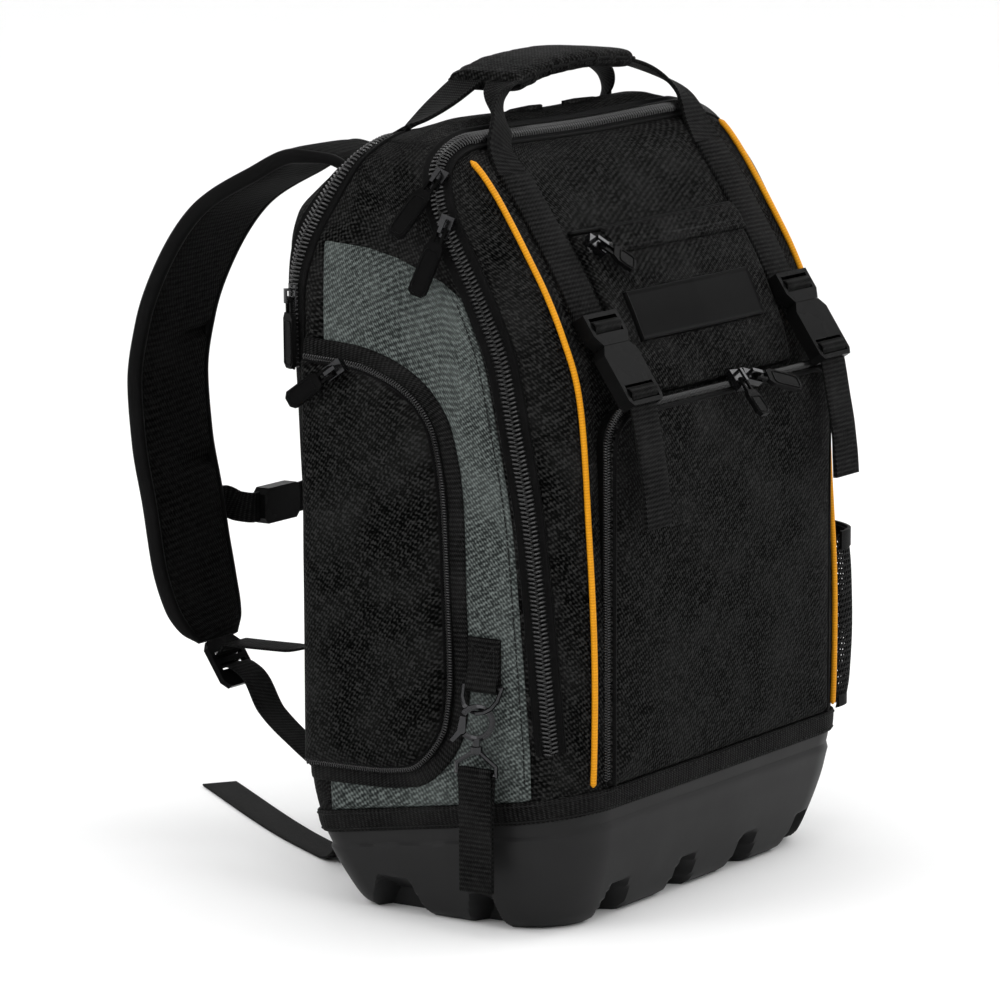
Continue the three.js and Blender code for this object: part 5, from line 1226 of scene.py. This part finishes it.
def makeMeshPocket():
    dense = np.linspace(0.0005, math.pi - 0.0005, 900)
    p = netPoint(dense, np.full(900, 150.0))
    run = np.concatenate([[0], np.cumsum(np.linalg.norm(np.diff(p, axis=0), axis=1))])
    pitch, rise = net["pitch"], net["pitch"] * 0.866
    rows, cols = int((net["top"] - net["foot"]) / rise), int(run[-1] / pitch) + 40
    i, j = np.meshgrid(np.arange(-rows, cols), np.arange(rows))
    i, j = i.ravel(), j.ravel()
    corner = np.array([[0, 0], [0.5, 0], [1, 0], [1, 0.5], [1, 1], [0.5, 1], [0, 1], [0, 0.5]])
    turn = np.radians([225, 270, 315, 0, 45, 90, 135, 180])
    hole = 0.5 + net["hole"] * np.stack([np.cos(turn), np.sin(turn)], 1)
    ring = np.concatenate([corner, hole])
    u = (i[:, None] + ring[None, :, 0] + 0.5 * (j[:, None] + ring[None, :, 1])) * pitch
    v = net["foot"] + (j[:, None] + ring[None, :, 1]) * rise
    keep = (u.min(1) > 0) & (u.max(1) < run[-1])
    u, v = u[keep], v[keep]
    k = np.arange(8)
    faces = np.stack([k, (k + 1) % 8, (k + 1) % 8 + 8, k + 8], 1)
    points = netPoint(np.interp(u, run, dense), v)
    faces = (faces[None] + (np.arange(len(u)) * 16)[:, None, None]).reshape(-1, 4)
    flat = points.reshape(-1, 3)
    merged, index = np.unique(np.round(flat, 2), axis=0, return_inverse=True)
    piece = putMesh("pocket_net", merged, [index.reshape(-1)[faces]], finishes["net"],
                    merged[:, [1, 2]] * metre)
    wall = piece.modifiers.new("wall", "SOLIDIFY")
    wall.thickness, wall.offset = 0.9 * metre, 0
    dress(piece, "bag", "mesh", "mesh_pocket")
    path = netPoint(np.linspace(0.02, math.pi - 0.02, 90), np.full(90, 203.5))
    along = unit(np.gradient(path, axis=0))
    path = path + np.cross(along, (0, 0, 1.0)) * 0.9
    rings = ribbonRings(path, (0, 0, 1), 12, 2.2, flatSection)
    dress(putTube("net_hem", rings, finishes["tape"], sharp=50), "bag", "webbing", "mesh_pocket_hem")
    path = netPoint(np.linspace(0.02, math.pi - 0.02, 90), np.full(90, 95.0))
    rings = ribbonRings(path, (0, 0, 1), 8, 2.0, flatSection)
    dress(putTube("net_foot", rings, finishes["tape"], sharp=50), "bag", "webbing")
    print("mesh pocket made")


# Leash, tab and buckle tails
leash = {
    "middle": -61.5, "tabFoot": 158.0, "tabSink": 1.8, "x": -189.25, "ringFoot": 136.74, "hook": 32,
    "length": 79, "width": 24,
}

# Webbing round a bar of each buckle half: distance down the buckle and rise above its back
buckleTurns = [
    [(-9, -1.3), (1, -0.9), (4.6, 1.5), (5.6, 8.6), (7.2, 10.0), (9.8, 10.0), (11.6, 8.6), (12.4, 2),
     (10, -0.9)],
    [(47, -0.9), (50.6, 0.6), (52.0, 8.4), (53.6, 10.0), (57.2, 10.0), (59.0, 8.4), (60.2, 2.4), (63.4, 3.6)],
]


def makeLeash():
    middle = leash["middle"]
    seat = bagPoint(*sideSpot(middle, leash["tabFoot"]))[0] - leash["tabSink"]
    bar = seat - 3.8
    shape = [(seat - 0.9, 188), (seat - 0.9, 166), (bar + 2.8, 158.5), (bar + 1.6, 155.4), (bar - 0.6, 155.0),
             (bar - 2.6, 157), (bar - 2.3, 160.2), (seat - 3.1, 166), (seat - 2.6, 173), (seat - 2.5, 188.5)]
    path = smoothPath([(x, middle, z) for x, z in shape], 0.8)
    rings = ribbonRings(path, (0, 1, 0), 23, 1.5, flatSection)
    dress(putTube("tab_web", rings, finishes["webbing"], sharp=50), "bag", "webbing", "ring_tab")
    barZ = leash["ringFoot"] - leash["hook"]
    footZ = barZ + 3.7 - leash["length"]
    shape = [(-1.0, footZ), (-1.3, barZ - 30), (-2.0, barZ - 10), (-2.9, barZ - 1)]
    shape += [(2.95 * math.cos(t), barZ + 2.95 * math.sin(t)) for t in np.radians([165, 130, 90, 50, 15])]
    shape += [(2.9, barZ - 1), (2.0, barZ - 10), (1.3, barZ - 30), (1.0, footZ + 0.5)]
    path = smoothPath([(leash["x"] + x, middle, z) for x, z in shape], 1.2)
    rings = ribbonRings(path, (0, 1, 0), leash["width"], 1.7, flatSection)
    dress(putTube("leash_web", rings, finishes["webbing"], sharp=50), "bag", "webbing", "leash_loop")
    places, alongs = [], []
    for a, b in (((-8, 163.5), (8, 163.5)), ((8, 163.5), (8, 184)), ((8, 184), (-8, 184)),
                 ((-8, 184), (-8, 163.5)),
                 ((-8, 163.5), (8, 184)), ((-8, 184), (8, 163.5))):
        a, b = np.array([seat - 3.5, middle + a[0], a[1]]), np.array([seat - 3.5, middle + b[0], b[1]])
        count = int(np.linalg.norm(b - a) / 3.3)
        places.append(a + (b - a) * ((np.arange(count) + 0.5) / count)[:, None])
        alongs.append(np.tile(unit(b - a), (count, 1)))
    places = np.concatenate(places)
    stitchFrames(places, np.concatenate(alongs), np.tile([-1.0, 0, 0], (len(places), 1)))
    for side, name in ((-1, "left"), (1, "right")):
        at = bagPoint(*frontSpot(side * bag["webX"], 380.0)) + bagFrame(*frontSpot(side * bag["webX"],
                                                                                   380.0))[3] * 2.5
        down = unit(np.array([0, -(133 + at[1]), -54]))
        out = unit(np.array([0, -54, 133 + at[1]]))
        start = at + down * 62.5 + out * 4.5
        drops = [(-0.09, -0.03, 1), (0, 0, 1), (0.30, 0.06, 1), (0.62, 0.12, 1), (0.84, 0.14, 1.7),
                 (1, 0.15, 1.9)]
        rows = np.array([(start[0], start[1] - 76 * a, start[2] - 76 * d, 2 * k) for d, a, k in drops])
        path = smoothPath(rows, 2)
        rings = ribbonRings(path[:, :3], (1, 0, 0), 29, 1.7 * path[:, 3] / 2, flatSection)
        dress(putTube("tail_web_" + name, rings, finishes["webbing"], sharp=50), "bag", "webbing",
              "buckle_tail_" + name)
        for turns in buckleTurns:
            path = smoothPath([at + down * a + out * b for a, b in turns], 0.7)
            rings = ribbonRings(path, (1, 0, 0), 29, 1.2, flatSection)
            dress(putTube("buckle_web_" + name, rings, finishes["webbing"], sharp=50), "bag", "webbing")
    print("leash made")


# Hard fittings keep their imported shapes, with rounded edges and a finish
def finishFittings():
    for name, node in frame["nodes"].items():
        kind = None
        if name.startswith(("slider", "d_ring", "snap_hook", "hook_lever")):
            kind = "metal"
        if name.startswith(("pull", "buckle_plug", "buckle_socket", "ladder_lock", "sternum_buckle")):
            kind = "plastic"
        if kind is None:
            continue
        for piece in (node if isinstance(node, (list, tuple)) else [node]):
            piece.data.materials.clear()
            piece.data.materials.append(finishes[kind])
            edge = piece.modifiers.new("edge", "BEVEL")
            edge.width, edge.segments, edge.limit_method = (0.35
                                                            if kind == "metal" else 0.8) * metre, 3, "ANGLE"
            edge.angle_limit = math.radians(40)
    print("fittings finished")


# A pull's packed points and its directions down, across and out of its face: across is its hinge's axis,
# and down is the longest spread of the points once their share along the hinge is taken off
def pullFrame(hinge):
    node = frame["nodes"][hinge["child"]]
    node = node[0] if isinstance(node, (list, tuple)) else node
    points = np.empty(len(node.data.vertices) * 3)
    node.data.vertices.foreach_get("co", points)
    world = np.array(node.matrix_world)
    points = (points.reshape(-1, 3) @ world[:3, :3].T + world[:3, 3]) / metre
    across = unit(np.array(hinge["axis"], float))
    flat = points - points.mean(0)
    flat = flat - across * (flat @ across)[:, None]
    hang = np.linalg.svd(flat, full_matrices=False)[2][0]
    fromHinge = points.mean(0) - np.array(hinge["pos_m"]) / metre
    hang = unit(hang if hang @ fromHinge > 0 else -hang)
    return points, hang, across, np.cross(across, hang)


pullRim = {"half": 4.7, "headRoom": 17.5, "footRoom": 2.2, "face": 1.35, "radius": 0.75}


# Raised rim round both faces of each pull, riding with it
def makePullRims():
    for hinge in frame["joints"]:
        body = hinge["child"]
        if not body.startswith("pull_"):
            continue
        points, hang, across, out = pullFrame(hinge)
        low, high = (points @ hang).min(), (points @ hang).max()
        middle = sum(axis * ((points @ axis).min() + (points @ axis).max()) / 2 for axis in (across, out))
        long = (high - low - pullRim["headRoom"]) / 2
        loop = roundSection(0.35, 40) * np.array([pullRim["half"], long])
        parts = []
        for face in (-1, 1):
            drop = high - pullRim["footRoom"] - long + loop[:, 1:]
            path = middle + across * loop[:, :1] + hang * drop + out * face * pullRim["face"]
            parts.append(rodPart(path, pullRim["radius"], 8, wrap=True, up=tuple(out)))
        rim = putParts("rim_" + body, parts, finishes["plastic"], sharp=80)
        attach(rim, body)
    print("pull rims made")


def putStitches():
    dress(putParts("stitching", stitches, finishes["thread"], sharp=70), "bag", "webbing")


# Camera, light and floor
studio = {
    "azimuth": -57, "elevation": 9.6, "distance": 3551, "aim": (0, 0, 265), "focal": 5500,
    "centre": (560, 465), "frame": 1000, "sensor": 36, "floor": 9.4, "wall": 5.0, "sky": 1.16,
    # Name, azimuth, elevation, distance and size in metres, power
    "lights": [("key", -20, 42, 2.6, 1.2, 7), ("fill", -115, 30, 2.8, 1.4, 14),
               ("rim", 60, 35, 2.8, 1.2, 12), ("top", -60, 80, 2.4, 1.2, 6)],
}


def lookFrom(azimuth, elevation):
    a, e = math.radians(azimuth), math.radians(elevation)
    return np.array([math.sin(a) * math.cos(e), -math.cos(a) * math.cos(e), math.sin(e)])


def aimAt(obj, direction):
    obj.rotation_mode = "QUATERNION"
    obj.rotation_quaternion = Vector(direction).to_track_quat("-Z", "Y")


def makeCamera():
    data = bpy.data.cameras.new("camera")
    data.sensor_width = studio["sensor"]
    data.lens = studio["focal"] * studio["sensor"] / studio["frame"]
    data.shift_x = 0.5 - studio["centre"][0] / studio["frame"]
    data.shift_y = studio["centre"][1] / studio["frame"] - 0.5
    camera = bpy.data.objects.new("camera", data)
    back = lookFrom(studio["azimuth"], studio["elevation"])
    camera.location = (np.array(studio["aim"]) + back * studio["distance"]) * metre
    aimAt(camera, -back)
    data.clip_end = 60
    bpy.context.scene.collection.objects.link(camera)
    bpy.context.scene.camera = camera


def softLight(name, azimuth, elevation, distance, size, power):
    data = bpy.data.lights.new(name, "AREA")
    data.shape, data.size, data.energy = "DISK", size, power
    light = bpy.data.objects.new(name, data)
    toward = lookFrom(azimuth, elevation)
    light.location = np.array([0, 0, 0.25]) + toward * distance
    aimAt(light, -toward)
    bpy.context.scene.collection.objects.link(light)


def makeStudio():
    material, tree, shader = startMaterial("paleFloor")
    place = tree.nodes.new("ShaderNodeTexCoord")
    spread = tree.nodes.new("ShaderNodeMapping")
    spread.inputs["Scale"].default_value = (0.5 / studio["floor"], 0.5 / studio["floor"], 1 / studio["wall"])
    spread.inputs["Location"].default_value = (0.5, 0.5, 0)
    tree.links.new(place.outputs["Object"], spread.inputs["Vector"])
    noise = tree.nodes.new("ShaderNodeTexNoise")
    tree.links.new(spread.outputs["Vector"], noise.inputs["Vector"])
    noise.inputs["Scale"].default_value = 3
    colour = mixColour(tree, noise.outputs[0], (0.90, 0.90, 0.90), (0.93, 0.93, 0.93))
    tree.links.new(colour, shader.inputs["Base Color"])
    shader.inputs["Roughness"].default_value = 0.9
    shader.inputs["Specular IOR Level"].default_value = 0.1
    # Floor whose rim bends up into a wall: radius and height of each ring
    profile = [(0.001, 0), (3, 0), (7, 0), (8.2, 0.25), (9.0, 1.0), (9.3, 2.2),
               (studio["floor"], studio["wall"])]
    turn = np.linspace(0, 2 * math.pi, 96, endpoint=False)
    rings = np.stack([np.stack([r * np.cos(turn), r * np.sin(turn), np.full(96, h)], 1) for r, h in profile])
    floor = putMesh("floor", rings * 1000, [gridFaces(len(profile), 96, wrapCols=True)[:, ::-1]], material)
    world = bpy.data.worlds.new("studio")
    world.use_nodes = True
    sky = world.node_tree.nodes["Background"]
    sky.inputs[0].default_value = (1, 1, 1, 1)
    sky.inputs[1].default_value = studio["sky"]
    bpy.context.scene.world = world
    for light in studio["lights"]:
        softLight(*light)
    bpy.context.scene.view_settings.view_transform = "Standard"


makeShells()
makeZips()
makeBoot()
makeSidePanels()
makeSidePocket()
makeFront()
makeHandle()
makeStraps()
makeBackPanel()
makeMeshPocket()
makeLeash()
putStitches()
makePullRims()
finishFittings()
makeCamera()
makeStudio()
